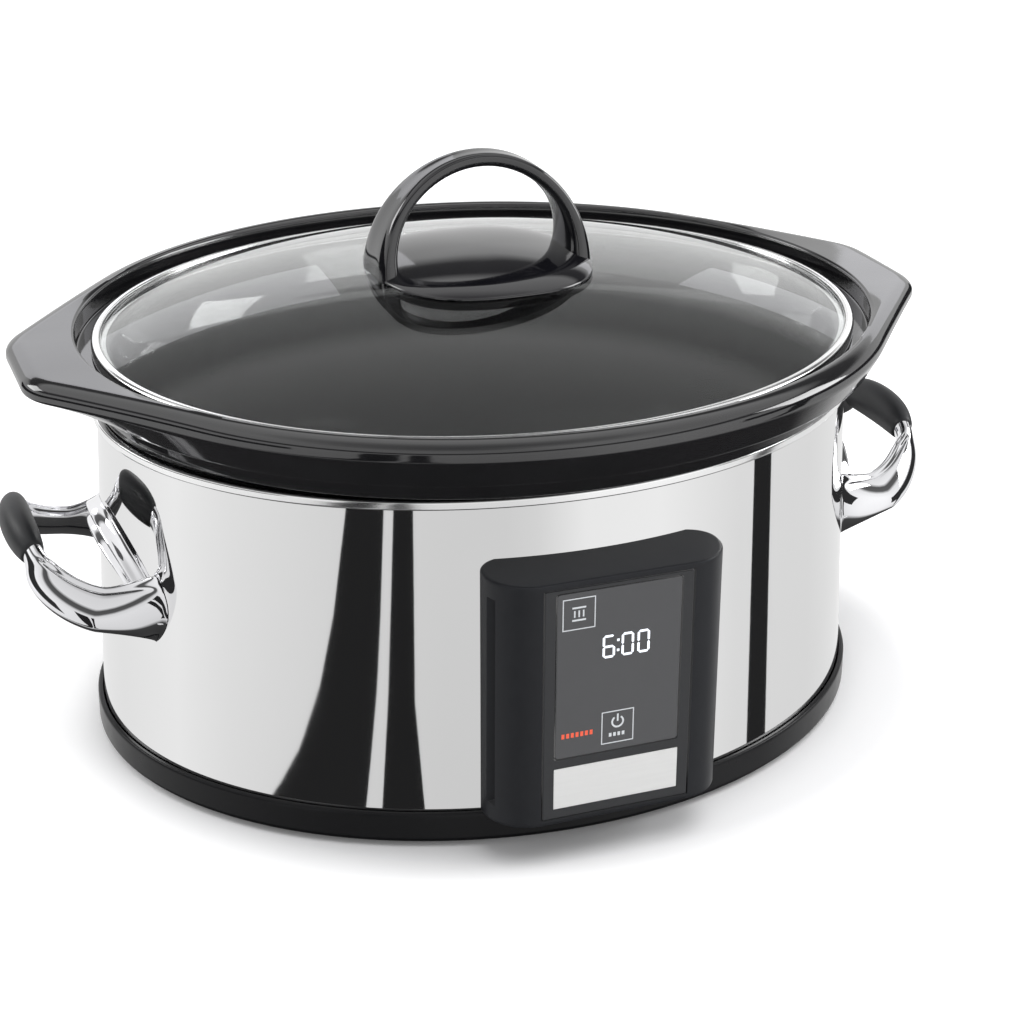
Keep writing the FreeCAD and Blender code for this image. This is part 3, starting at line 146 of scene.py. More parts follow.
def materials():
    steel = dict(Metallic=1.0)
    return {
        "mirror_steel": surface(
            "mirror_steel", (0.82, 0.82, 0.82), 0.03, 0.015, patch=14.0, grain=22.0, relief=0.012,
            tint=0.02, **steel),
        "trim_steel": surface(
            "trim_steel", (0.92, 0.92, 0.92), 0.14, 0.03, patch=60.0, grain=400.0, relief=0.004,
            tint=0.02, **steel),
        "chrome": surface(
            "chrome", (0.88, 0.88, 0.90), 0.035, 0.02, patch=80.0, grain=120.0, relief=0.006,
            tint=0.015, **steel),
        "liner_steel": surface(
            "liner_steel", (0.60, 0.61, 0.62), 0.34, 0.08, patch=90.0, grain=1200.0, relief=0.02,
            tint=0.10, stretch=(1.0, 1.0, 0.2), **steel),
        "zinc_steel": surface(
            "zinc_steel", (0.66, 0.66, 0.66), 0.30, 0.08, patch=300.0, grain=1500.0, relief=0.01,
            tint=0.08, **steel),
        "plate_metal": surface(
            "plate_metal", (0.90, 0.90, 0.89), 0.38, 0.06, patch=700.0, grain=2500.0, relief=0.01,
            tint=0.04, stretch=(0.05, 1.0, 1.0), Metallic=0.35),
        "glaze": surface(
            "glaze", (0.010, 0.010, 0.011), 0.07, 0.03, patch=70.0, grain=120.0, relief=0.02,
            tint=0.35, IOR=1.85),
        "knob": surface(
            "knob", (0.006, 0.006, 0.008), 0.07, 0.025, patch=90.0, grain=350.0, relief=0.004,
            tint=0.3, IOR=1.8),
        "grip": surface(
            "grip", (0.016, 0.017, 0.019), 0.48, 0.05, patch=200.0, grain=2600.0, relief=0.03,
            tint=0.15),
        "housing_plastic": surface(
            "housing_plastic", (0.019, 0.020, 0.023), 0.40, 0.05, patch=120.0, grain=3200.0,
            relief=0.02, tint=0.12, Specular_IOR_Level=0.2),
        "fascia_plastic": surface(
            "fascia_plastic", (0.025, 0.026, 0.029), 0.36, 0.05, patch=120.0, grain=3000.0,
            relief=0.012, tint=0.10),
        "window": surface(
            "window", (0.056, 0.057, 0.061), 0.22, 0.03, patch=60.0, grain=1500.0, relief=0.003,
            tint=0.06, Coat_Weight=0.5, Coat_Roughness=0.05),
        "black_plastic": surface(
            "black_plastic", (0.008, 0.008, 0.009), 0.30, 0.06, patch=150.0, grain=2600.0,
            relief=0.015, tint=0.2, Specular_IOR_Level=0.2),
        "rubber": surface(
            "rubber", (0.020, 0.020, 0.020), 0.75, 0.08, patch=300.0, grain=3000.0, relief=0.04,
            tint=0.2),
        "glass": surface(
            "glass", (0.97, 0.985, 0.98), 0.004, 0.003, patch=12.0, grain=14.0, relief=0.01,
            Transmission_Weight=1.0, IOR=1.3),
        "mica": surface("mica", (0.45, 0.36, 0.22), 0.45, 0.1, patch=200.0, relief=0.05, tint=0.3),
        "glass_wool": surface(
            "glass_wool", (0.80, 0.76, 0.62), 0.9, 0.05, patch=500.0, relief=0.4, tint=0.15),
        "board": surface(
            "board", (0.02, 0.16, 0.06), 0.35, 0.08, patch=700.0, relief=0.02, tint=0.35),
        "component": surface(
            "component", (0.05, 0.05, 0.06), 0.4, 0.08, patch=300.0, relief=0.02, tint=0.2),
        "silicone": surface(
            "silicone", (0.62, 0.62, 0.62), 0.5, 0.08, patch=300.0, relief=0.02, tint=0.1),
        "digits": surface(
            "digits", (0.85, 0.88, 0.92), 0.5, 0.03, patch=900.0, tint=0.03,
            Emission_Color=(0.85, 0.90, 1.0, 1.0), Emission_Strength=0.75),
        "print": surface(
            "print", (0.62, 0.64, 0.66), 0.5, 0.05, patch=900.0, tint=0.05,
            Emission_Color=(0.75, 0.78, 0.82, 1.0), Emission_Strength=0.18),
        "red_print": surface(
            "red_print", (0.70, 0.10, 0.05), 0.5, 0.05, patch=900.0, tint=0.08,
            Emission_Color=(1.0, 0.12, 0.05, 1.0), Emission_Strength=0.35),
    }


# ---------------------------------------------------------------- meshes

def oval_ring(halves, z, angles=ANGLES):
    """Ring of points on an oval at a height."""
    c, s = np.cos(angles), np.sin(angles)
    radius = 1 / np.hypot(c / halves[0], s / halves[1])
    return np.column_stack((radius * c, radius * s, np.full(len(c), float(z))))


def inset(halves, by):
    """Oval drawn in by a distance, or let out by a negative one."""
    return tuple(half - by for half in halves)


def tangent_normal(length, width, centre, corner):
    """Direction in which the oval and the tab's corner reach equally far, by halving."""
    low, high = 0.0, math.pi / 2
    for _ in range(40):
        middle = (low + high) / 2
        c, s = math.cos(middle), math.sin(middle)
        if centre[0] * c + centre[1] * s + corner > math.hypot(length * c, width * s):
            low = middle
        else:
            high = middle
    return low


def tab_ring(by, z):
    """Ring on the crock's rim: straight end, round corner, tangent line, then the oval."""
    c, s = np.abs(np.cos(ANGLES)), np.abs(np.sin(ANGLES))
    length, width = inset(RIM, by)
    corner = TAB_ROUND - by
    centre = (TAB_END - TAB_ROUND, TAB_FLAT)
    normal = tangent_normal(length, width, centre, corner)
    n, m = math.cos(normal), math.sin(normal)
    plain = 1 / np.hypot(c / length, s / width)
    along = centre[0] * c + centre[1] * s
    reach = along ** 2 - centre[0] ** 2 - centre[1] ** 2 + corner ** 2
    here = np.arctan2(s, c)
    radius = np.select(
        [
            here < math.atan2(centre[1], centre[0] + corner),
            here < math.atan2(centre[1] + corner * m, centre[0] + corner * n),
            here < math.atan2(width ** 2 * m, length ** 2 * n),
        ],
        [
            (centre[0] + corner) / np.maximum(c, 1e-6),
            along + np.sqrt(np.maximum(reach, 0)),
            (centre[0] * n + centre[1] * m + corner) / np.maximum(n * c + m * s, 1e-6),
        ],
        plain,
    )
    drop = TAB_DROOP * (radius - plain) / (TAB_END - RIM[0])
    return np.column_stack((radius * np.cos(ANGLES), radius * np.sin(ANGLES), z - drop))


def softened(rings, cuts, steps=6, closed=False, support=0.25):
    """Round the profile's corners: each ring with a cut becomes a short curve of rings.

    A support ring on each side keeps the flat stretches flat when they are shaded smooth.
    """
    count = len(rings)
    made = []
    for i, (ring, cut_by) in enumerate(zip(rings, cuts)):
        ends = not closed and i in (0, count - 1)
        if not cut_by or ends:
            made.append(ring)
            continue
        sides = []
        for other in (rings[i - 1], rings[(i + 1) % count]):
            step = other - ring
            length = np.linalg.norm(step, axis=1, keepdims=True)
            near = np.minimum(cut_by, 0.47 * length)
            far = np.minimum(near + support, 0.49 * length)
            sides.append((ring + step / length * near, ring + step / length * far))
        (before, before_far), (after, after_far) = sides
        made.append(before_far)
        for t in np.linspace(0, 1, steps + 1):
            made.append((1 - t) ** 2 * before + 2 * t * (1 - t) * ring + t ** 2 * after)
        made.append(after_far)
    return made


def piece(name, mesh, material, body, *nodes, slot=None, sharp=42.0):
    """Object that rides on a CAD body and stands for CAD nodes."""
    mesh.materials.clear()
    mesh.materials.append(MATERIALS[material])
    mesh.polygons.foreach_set("use_smooth", [True] * len(mesh.polygons))
    mesh.set_sharp_from_angle(angle=math.radians(sharp))
    made = bpy.data.objects.new(name, mesh)
    bpy.context.scene.collection.objects.link(made)
    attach(made, body)
    if nodes:
        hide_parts(*nodes)
    return made


def unmirrored(*things):
    """The wall doesn't show these pieces in its reflections."""
    for thing in things:
        thing.visible_glossy = False


def as_mesh(name, bm):
    mesh = bpy.data.meshes.new(name)
    bm.to_mesh(mesh)
    bm.free()
    return mesh


def from_bmesh(name, bm):
    """Mesh whose faces all look outwards."""
    bmesh.ops.recalc_face_normals(bm, faces=bm.faces)
    return as_mesh(name, bm)


def add_skin(bm, rings, closed=False, caps=True, wrapped=True):
    """Quads between rings of equal length; caps close the first and last ring."""
    rows = [[bm.verts.new(Vector(p) * MM) for p in ring] for ring in rings]
    count = len(rows[0])
    pairs = list(zip(rows, rows[1:])) + ([(rows[-1], rows[0])] if closed else [])
    last = count if wrapped else count - 1
    for low, high in pairs:
        for i in range(last):
            k = (i + 1) % count
            bm.faces.new((low[i], low[k], high[k], high[i]))
    if caps and not closed:
        for row in (rows[0], rows[-1]):
            if count > 64:
                fan(bm, row)
            else:
                bm.faces.new(row)


def fan(bm, row):
    """Close a long ring with a smaller ring and a middle point."""
    middle = sum((v.co for v in row), Vector()) / len(row)
    inner = [bm.verts.new(middle + (v.co - middle) * 0.5) for v in row]
    hub = bm.verts.new(middle)
    for i, vert in enumerate(row):
        k = (i + 1) % len(row)
        bm.faces.new((vert, row[k], inner[k], inner[i]))
        bm.faces.new((inner[i], inner[k], hub))


def skin(name, rings, **options):
    bm = bmesh.new()
    add_skin(bm, rings, **options)
    return from_bmesh(name, bm)


def joined(name, meshes):
    """One mesh made of several, which are removed."""
    bm = bmesh.new()
    for mesh in meshes:
        bm.from_mesh(mesh)
        bpy.data.meshes.remove(mesh)
    return as_mesh(name, bm)


def mirrored(name, mesh):
    """Copy of a mesh, mirrored left to right."""
    bm = bmesh.new()
    bm.from_mesh(mesh)
    for vert in bm.verts:
        vert.co.x = -vert.co.x
    bmesh.ops.reverse_faces(bm, faces=bm.faces)
    return as_mesh(name, bm)


def turned(profile, centre, axis, count=64):
    """Rings of a lathed piece: (radius, along) pairs turned about an axis through a centre."""
    centre, axis = np.array(centre, float), np.array(axis, float)
    side = np.cross(axis, (0.0, 0.0, 1.0) if abs(axis[2]) < 0.5 else (0.0, 1.0, 0.0))
    side /= np.linalg.norm(side)
    other = np.cross(axis, side)
    turns = np.linspace(0, 2 * math.pi, count, endpoint=False)
    circle = np.outer(np.cos(turns), side) + np.outer(np.sin(turns), other)
    return [centre + along * axis + radius * circle for radius, along in profile]


def rounded_rectangle(centre, width, height, corner, steps=6):
    """Outline in the XZ plane with a quarter circle at each corner."""
    points = []
    for quarter, (sx, sz) in enumerate(((1, 1), (-1, 1), (-1, -1), (1, -1))):
        for t in np.linspace(0, math.pi / 2, steps + 1):
            angle = quarter * math.pi / 2 + t
            points.append((
                centre[0] + sx * (width / 2 - corner) + corner * math.cos(angle),
                centre[1] + sz * (height / 2 - corner) + corner * math.sin(angle),
            ))
    return points


def wall_half(z, offset=0.0):
    """Oval of the steel wall at a height."""
    share = (z - WRAP_FOOT) / (WRAP_TOP - WRAP_FOOT)
    return tuple(low + (high - low) * share + offset for low, high in zip(WRAP_LOW, WRAP_HIGH))


def liner_half(z, offset=0.0):
    """Oval of the heating well at a height."""
    share = (z - LINER_FLOOR) / (TRIM_TOP - LINER_FLOOR)
    return tuple(low + (high - low) * share + offset for low, high in zip(LINER_LOW, LINER_HIGH))


def cut_away(mesh, cutters):
    """Mesh with the cutters' solids taken out."""
    scene = bpy.context.scene.collection
    target = bpy.data.objects.new("target", mesh)
    tool = bpy.data.objects.new("tool", joined("tools", cutters))
    for thing in (target, tool):
        scene.objects.link(thing)
    modifier = target.modifiers.new("cut", "BOOLEAN")
    modifier.object, modifier.solver, modifier.use_self = tool, "EXACT", True
    bpy.context.view_layer.update()
    result = target.evaluated_get(bpy.context.evaluated_depsgraph_get())
    made = bpy.data.meshes.new_from_object(result)
    for thing in (target, tool):
        bpy.data.objects.remove(thing)
    return made


def block(low, high):
    """Box between two corners."""
    bm = bmesh.new()
    corners = [[bm.verts.new(Vector((x, y, z)) * MM) for x, y in
                ((low[0], low[1]), (high[0], low[1]), (high[0], high[1]), (low[0], high[1]))]
               for z in (low[2], high[2])]
    bm.faces.new(corners[0][::-1])
    bm.faces.new(corners[1])
    for i in range(4):
        k = (i + 1) % 4
        bm.faces.new((corners[0][i], corners[0][k], corners[1][k], corners[1][i]))
    return from_bmesh("block", bm)


# ---------------------------------------------------------------- base, wall and liner

def levels(rows, **options):
    """Rounded rings from rows of (oval halves, height, rounding)."""
    rings = [oval_ring(halves, z) for halves, z, _ in rows]
    return softened(rings, [rounding for _, _, rounding in rows], **options)


def base():
    """Black skirt with a ledge that the wall stands in, floor vents and four rubber feet."""
    seat = wall_half(WRAP_FOOT, 0.2)
    underside, floor_top, ledge, skirt_top = 2.5, 5.5, WRAP_FOOT, 15.5
    well = inset(BASE, 7.0)
    skirt = skin("skirt", levels((
        (inset(BASE, 1.2), underside, 0.0), (BASE, 3.8, 1.0), (BASE, skirt_top, 1.6),
        (seat, skirt_top, 0.4), (seat, ledge, 0.3), (well, ledge, 0.5), (well, floor_top, 0.0),
    )))
    slot_x, slot_pitch, half_length, half_width = 39, 12, 17, 2
    slots = [
        block((side * slot_x - half_length, row * slot_pitch - half_width, 0.0),
              (side * slot_x + half_length, row * slot_pitch + half_width, 9.0))
        for side in (-1, 1) for row in range(-2, 3)
    ]
    piece("base_skirt", cut_away(skirt, slots), "black_plastic", "cooker", "base_tray", sharp=30.0)
    foot_x, foot_y = 112, 78
    profile = ((2.5, 0.9), (4.5, 0.0), (8.0, 0.0), (8.8, 0.5), (9.0, 1.4), (9.0, 4.0))
    feet = [
        skin("foot", turned(profile, (x, y, 0), (0, 0, 1), 48))
        for x in (foot_x, -foot_x) for y in (-foot_y, foot_y)
    ]
    piece("feet", joined("feet", feet), "rubber", "cooker", "rubber_feet")


def wrap():
    """Mirror-polished wall, and the flat strip over its joint at the back."""
    sheet = skin("wrap", levels((
        (wall_half(WRAP_FOOT, -WRAP_SHEET), WRAP_FOOT, 0.0), (wall_half(WRAP_FOOT), WRAP_FOOT, 0.0),
        (wall_half(WRAP_TOP), WRAP_TOP, 0.0), (wall_half(WRAP_TOP, -WRAP_SHEET), WRAP_TOP, 0.0),
    ), closed=True), closed=True)
    piece("wrap_sheet", sheet, "mirror_steel", "cooker", "outer_wrap_right", "outer_wrap_left")
    strip = ((-4.0, 0.02), (-3.6, 0.4), (3.6, 0.4), (4.0, 0.02), (3.8, -0.1), (-3.8, -0.1))
    strip_foot, strip_top = 17.0, 143.5
    seam = []
    for z in np.linspace(strip_foot, strip_top, 12):
        length, width = wall_half(z)
        seam.append([(x, width * math.sqrt(1 - (x / length) ** 2) + lift, z) for x, lift in strip])
    piece("wrap_seam", skin("seam", seam), "mirror_steel", "cooker", sharp=25.0)


def trim():
    """Bright bead on the wall's top edge, and the heating well inside it."""
    bead = (166.5, 135.8)
    inner = inset(bead, 3.1)
    foot = WRAP_TOP + 0.05
    rings = levels((
        (inner, foot, 0.3), (bead, foot, 0.7), (bead, TRIM_TOP, 1.1), (inner, TRIM_TOP, 0.3),
    ), closed=True)
    piece("trim_bead", skin("trim", rings, closed=True), "trim_steel", "cooker", "top_trim_ring")
    flange = (163.2, 132.5)
    flange_top, flange_foot = TRIM_TOP - 0.2, TRIM_TOP - LINER_SHEET
    pan = levels((
        (LINER_LOW, LINER_FLOOR, 0.0), (LINER_HIGH, flange_top, 1.2), (flange, flange_top, 0.0),
        (flange, flange_foot, 0.0), (inset(LINER_HIGH, -LINER_SHEET), flange_foot, 1.0),
        (inset(LINER_LOW, -LINER_SHEET), LINER_FLOOR - LINER_SHEET, 0.0),
    ))
    piece("liner_pan", skin("liner", pan), "liner_steel", "cooker", "liner")


# ---------------------------------------------------------------- crock and lid

def crock():
    """Pot whose profile runs up outside, over the tabs and the lid's ledge, and down inside."""
    foot, bend, shoulder, throat, inner_bend = 29.2, 37.2, 148.0, 153.6, 45.2
    edge_foot, edge_z, edge_width, edge_rise = 173.2, 175.8, 8, 4.9
    ledge, recess = 170.6, inset(LID, -6.5)
    edge = [
        (tab_ring(edge_width - edge_width * math.cos(t), edge_z + edge_rise * math.sin(t)), 0.0)
        for t in np.radians(range(0, 91, 9))
    ]
    rows = (
        (oval_ring(liner_half(foot, -9.8), foot), 0.0),
        (oval_ring(liner_half(bend, -1.8), bend), 6.0),
        (oval_ring(inset(LINER_HIGH, 1.8), shoulder), 0.6),
        (oval_ring((163.5, 132.8), 148.5), 1.2),
        (oval_ring(inset(RIM, 13.5), 153.7), 1.6),
        (oval_ring(inset(RIM, 11.5), 160.2), 1.4),
        (oval_ring(inset(RIM, 6.0), 161.7), 1.3),
        (tab_ring(0.0, edge_foot), 1.6),
        *edge,
        (oval_ring(recess, 179.9), 1.6),
        (oval_ring(recess, ledge), 1.2),
        (oval_ring(inset(LID, 8.0), ledge), 3.0),
        (oval_ring(liner_half(throat, -8.8), throat), 10.0),
        (oval_ring(liner_half(inner_bend, -8.8), inner_bend), 7.0),
        (oval_ring(liner_half(bend, -16.8), bend), 0.0),
    )
    rings = softened([row[0] for row in rows], [row[1] for row in rows], steps=7)
    piece("crock_pot", skin("crock", rings), "glaze", "crock", "crock")


def glass_z(x, y, sheet=0.0):
    """Height of the domed glass, at a depth below its outer face."""
    wide, deep = (half / GLASS_SHARE - sheet for half in GLASS)
    return GLASS_CENTRE + (GLASS_RISE - sheet) * np.sqrt(1 - (x / wide) ** 2 - (y / deep) ** 2)


def lid():
    """Glass dome with the hole for the handle's screw, and the steel band round it."""
    screw_hole = 0.018
    shares = np.concatenate((np.linspace(screw_hole, 0.9, 26), np.linspace(0.915, 1.0, 9)))
    rings = []
    for sheet, order in ((0.0, shares), (GLASS_SHEET, shares[::-1])):
        for share in order:
            ring = oval_ring(tuple(half * share for half in GLASS), 0.0)
            ring[:, 2] = glass_z(ring[:, 0], ring[:, 1], sheet)
            rings.append(ring)
    cuts = [0.0] * len(rings)
    cuts[len(shares) - 1] = cuts[len(shares)] = 0.8
    rings = softened(rings, cuts, closed=True)
    piece("lid_dome", skin("dome", rings, closed=True), "glass", "lid", "lid_glass", sharp=60.0)
    foot, groove, lip = 170.9, inset(LID, 3.6), inset(LID, 7.0)
    band = levels((
        (LID, foot, 1.0), (LID, 176.4, 1.8), (inset(LID, 3.4), 176.6, 1.2), (groove, 175.7, 0.2),
        (groove, 171.9, 0.1), (lip, 171.6, 0.3), (lip, foot, 0.3),
    ), closed=True)
    piece("lid_band", skin("band", band, closed=True), "trim_steel", "lid", "lid_rim")


def knob():
    """Domed round base with a ribbon arch that widens and thickens towards its feet."""
    length, width, squareness = 46.9, 48.6, 2.5
    share, crown_rise, edge_z = 0.9, 7.0, 199.5
    cap = crown_rise / (1 - math.sqrt(1 - share ** 2))
    middle = edge_z - cap * math.sqrt(1 - share ** 2)
    c, s = np.abs(np.cos(TURN)), np.abs(np.sin(TURN))
    outline = 1 / ((c / length) ** squareness + (s / width) ** squareness) ** (1 / squareness)

    def knob_ring(part, above):
        """Ring of the base's outline, drawn in, at a height above the glass."""
        x, y = outline * part * np.cos(TURN), outline * part * np.sin(TURN)
        return np.column_stack((x, y, glass_z(x, y) + above))

    rings = [knob_ring(part, 0.12) for part in np.linspace(0.02, 0.985, 18)]
    rings += [knob_ring(1.0, above) for above in (0.3, 0.8)]
    for part in np.linspace(0.99, 0.02, 40):
        ring = knob_ring(part, 0.0)
        dome = middle + cap * math.sqrt(1 - (share * part) ** 2)
        sag = np.maximum(edge_z - ring[:, 2] - 1.0, 0.0) * part ** 6
        ring[:, 2] = np.maximum(dome - sag, ring[:, 2] + 0.6)
        rings.append(ring)
    base_mesh = skin("knob_base", rings)
    centre_z, outer, top, reach = 197.5, 50.7, 247.5, 48.2
    foot_width, narrowing, foot_rise = 32, 19, 34.0
    thickness, foot_thickness, corner, crown = 3.4, 2.0, 0.62, 0.9
    arch = []
    turns = np.linspace(0, 2 * math.pi, 72, endpoint=False)
    c, s = np.cos(turns), np.sin(turns)
    round_out = np.sign(c) * np.abs(c) ** corner
    round_side = np.sign(s) * np.abs(s) ** corner
    for angle in np.linspace(0.012, math.pi - 0.012, 121):
        rise = outer * math.sin(angle)
        half_width = (foot_width - narrowing * rise / (top - centre_z)) / 2
        foot = max(0.0, 1 - rise / foot_rise) ** 1.6
        thick = thickness + foot_thickness * foot
        inward = thick * (1 - round_out)
        inward = inward + np.where(c > 0, crown * (1 - np.abs(round_side) ** 2), 0.0)
        across = half_width * round_side
        arch.append(np.column_stack((
            (reach - inward) * math.cos(angle), across,
            centre_z + (outer - inward) * math.sin(angle))))
    for ring in (arch[0], arch[-1]):
        ring[:, 2] = glass_z(ring[:, 0], ring[:, 1]) + 0.15
    piece("lid_knob", base_mesh, "knob", "lid", "lid_handle", sharp=50.0)
    piece("lid_arch", skin("arch", arch), "knob", "lid", "lid_handle", sharp=50.0)


# ---------------------------------------------------------------- control housing

def housing_ring(z, by=0.0, steps=14):
    """Plan of the housing at a height: round lobes that run back to the wall."""
    half, corner, heel = 49.0 - by, 18.0 - by, 11.0
    face = FACE - by
    wall = wall_half(z, -1.0)

    def wall_y(x):
        return -wall[1] * math.sqrt(1 - (x / wall[0]) ** 2)

    start, straight = half - heel, 1.0
    depth = face - corner + wall_y(start) - straight
    quarter = np.linspace(0, math.pi / 2, steps + 1)
    side = [(start + heel * math.sin(t), wall_y(start) - depth * (1 - math.cos(t)))
            for t in quarter]
    side += [(half - corner + corner * math.cos(t), corner - face - corner * math.sin(t))
             for t in quarter]
    front = [(x, -face) for x in np.linspace(half - corner, corner - half, 16)[1:-1]]
    left = [(-x, y) for x, y in reversed(side)]
    rear = [(x, wall_y(x)) for x in np.linspace(heel - half, half - heel, 26)[1:-1]]
    return np.array([(x, y, z) for x, y in (*side, *front, *left, *rear)])


def flat_plate(centre, width, height, corner, front, depth, edge):
    """Rounded rectangle that faces -Y; `front` is its distance ahead of the middle."""
    rings = []
    support = edge + 0.4
    profile = (
        (support, front), (edge, front), (edge * 0.3, front - edge * 0.3), (0.0, front - edge),
        (0.0, front - depth),
    )
    for by, ahead in profile:
        outline = rounded_rectangle(centre, width - 2 * by, height - 2 * by, max(corner - by, 0.05))
        rings.append([(x, -ahead, z) for x, z in outline])
    return skin("plate", rings)


def housing():
    """Shell with a pocket for the panel, and on each side a recess with a row of vent slots."""
    low, high, edge = HOUSING_FOOT, HOUSING_TOP, 0.9
    support = edge + 0.6
    rings = [housing_ring(low, support)]
    for t in np.linspace(0, math.pi / 2, 4):
        rings.append(housing_ring(low + edge - edge * math.cos(t), edge - edge * math.sin(t)))
    for z in np.linspace(low + 2, high - 2, 9):
        rings.append(housing_ring(z))
    for t in np.linspace(math.pi / 2, 0, 4):
        rings.append(housing_ring(high - edge + edge * math.cos(t), edge - edge * math.sin(t)))
    rings.append(housing_ring(high, support))
    body = skin("housing", rings)
    pocket = 31.2
    recess_in, recess_out, recess_foot, recess_top = 43.5, 53.0, 27.0, 115.8
    slot_in, slot_out, slot_half, slot_pitch, slots = 39.0, 44.5, 2.2, 6.0, 15
    cutters = [block((-pocket, -165, 21.8), (pocket, -154.9, 121.0))]
    for side in (-1, 1):
        x = sorted((side * recess_in, side * recess_out))
        cutters.append(block((x[0], -150.4, recess_foot), (x[1], -145.6, recess_top)))
        x = sorted((side * slot_in, side * slot_out))
        for n in range(slots):
            z = PANEL_Z + (n - slots // 2) * slot_pitch
            cutters.append(block((x[0], -149.6, z - slot_half), (x[1], -146.4, z + slot_half)))
    unmirrored(piece("housing_shell", cut_away(body, cutters), "housing_plastic", "cooker",
                     "control_housing", sharp=25.0))


def panel():
    """Dark panel in the housing, with the display window and the bare plate set into it."""
    above, sunk = FACE + 1, FACE - 0.05
    fascia = flat_plate((0, PANEL_Z), 61.2, 98.2, 0.6, FACE, 4.8, 0.35)
    cutters = [
        flat_plate((0, WINDOW_Z), 52.5, 71.5, 1.6, above, 3.0, 0.01),
        flat_plate((0, PLATE_Z), 52.4, 17.9, 0.5, above, 2.2, 0.01),
    ]
    window = flat_plate((0, WINDOW_Z), 51.3, 70.3, 1.3, sunk, 1.8, 0.25)
    plate = flat_plate((0, PLATE_Z), 52.2, 17.7, 0.3, sunk, 1.0, 0.15)
    unmirrored(
        piece("fascia_panel", cut_away(fascia, cutters), "fascia_plastic", "cooker",
              "control_fascia", sharp=15.0),
        piece("window_pane", window, "window", "cooker", "display_window", sharp=15.0),
        piece("name_plate", plate, "plate_metal", "cooker", "nameplate", sharp=15.0),
    )


def print_shapes(name, shapes, material):
    """Thin raised print on the window from flat outlines in the XZ plane."""
    behind, proud = -0.06, 0.03
    bm = bmesh.new()
    for outline in shapes:
        rows = [[(x, -(FACE + ahead), z) for x, z in outline] for ahead in (behind, proud)]
        add_skin(bm, rows)
    unmirrored(piece(name, from_bmesh(name, bm), material, "cooker", slot="window"))


def bar(left, low, right, high):
    """Rectangle of print."""
    return [(left, low), (right, low), (right, high), (left, high)]


def frame_bars(centre, width, height, line):
    """Rectangular outline as four bars."""
    x, z = centre
    w, h = width / 2, height / 2
    return [
        bar(x - w, z + h - line, x + w, z + h),
        bar(x - w, z - h, x + w, z - h + line),
        bar(x - w, z - h + line, x - w + line, z + h - line),
        bar(x + w - line, z - h + line, x + w, z + h - line),
    ]


def arc_band(centre, radius, line, start, stop, steps=20):
    """Part of a circle's outline, as short quads."""
    outer, inner = (
        [(centre[0] + reach * math.cos(t), centre[1] + reach * math.sin(t))
         for t in np.linspace(start, stop, steps)]
        for reach in (radius + line / 2, radius - line / 2)
    )
    return [[outer[i], outer[i + 1], inner[i + 1], inner[i]] for i in range(steps - 1)]


DIGIT_BARS = {"6": "acdefg", "0": "abcdef"}


def digit(mark, left, bottom, width, height, line):
    """Seven-segment digit, each bar a long hexagon."""
    half = height / 2
    gap = 0.12
    spots = {
        "a": ((0, height), (width, height)), "g": ((0, half), (width, half)),
        "d": ((0, 0), (width, 0)),
        "f": ((0, half), (0, height)), "b": ((width, half), (width, height)),
        "e": ((0, 0), (0, half)), "c": ((width, 0), (width, half)),
    }
    shapes = []
    for key in DIGIT_BARS[mark]:
        start, end = (np.array(p, float) for p in spots[key])
        along = (end - start) / np.linalg.norm(end - start)
        side = np.array((-along[1], along[0])) * line / 2
        start, end = start + along * gap, end - along * gap
        inner_start, inner_end = start + along * line / 2, end - along * line / 2
        outline = (
            start, inner_start - side, inner_end - side, end, inner_end + side, inner_start + side)
        shapes.append([(left + x, bottom + z) for x, z in outline])
    return shapes


def graphics():
    """Lit digits, two framed touch marks and a row of small red dashes."""
    digits = []
    for mark, left in (("6", -6.4), ("0", 1.4), ("0", 8.0)):
        digits += digit(mark, left, 89.4, 4.2, 8.8, 0.95)
    for z in (91.7, 96.0):
        digits.append(bar(-0.95, z - 0.5, 0.05, z + 0.5))
    print_shapes("display_digits", digits, "digits")
    marks = frame_bars((-16.8, 109.8), 13.4, 13.2, 0.4)
    for z in (107.2, 112.4):
        marks.append(bar(-19.6, z - 0.35, -14.0, z + 0.35))
    for x in (-18.6, -16.8, -15.0):
        marks.append(bar(x - 0.3, 108.4, x + 0.3, 111.2))
    marks += frame_bars((0.15, 58.5), 13.5, 14.1, 0.4)
    marks += arc_band((0.15, 60.6), 2.3, 0.75, math.radians(125), math.radians(415))
    marks.append(bar(-0.2, 60.8, 0.5, 64.0))
    for x in (-3.4, -1.6, 0.2, 2.0):
        marks.append(bar(x, 54.4, x + 1.1, 56.0))
    print_shapes("touch_marks", marks, "print")
    first_light, light_pitch, light_width = -23.2, 1.95, 1.2
    lights = []
    for n in range(7):
        x = first_light + n * light_pitch
        lights.append(bar(x, 57.0, x + light_width, 59.0))
    print_shapes("status_light", lights, "red_print")


# ---------------------------------------------------------------- side handles

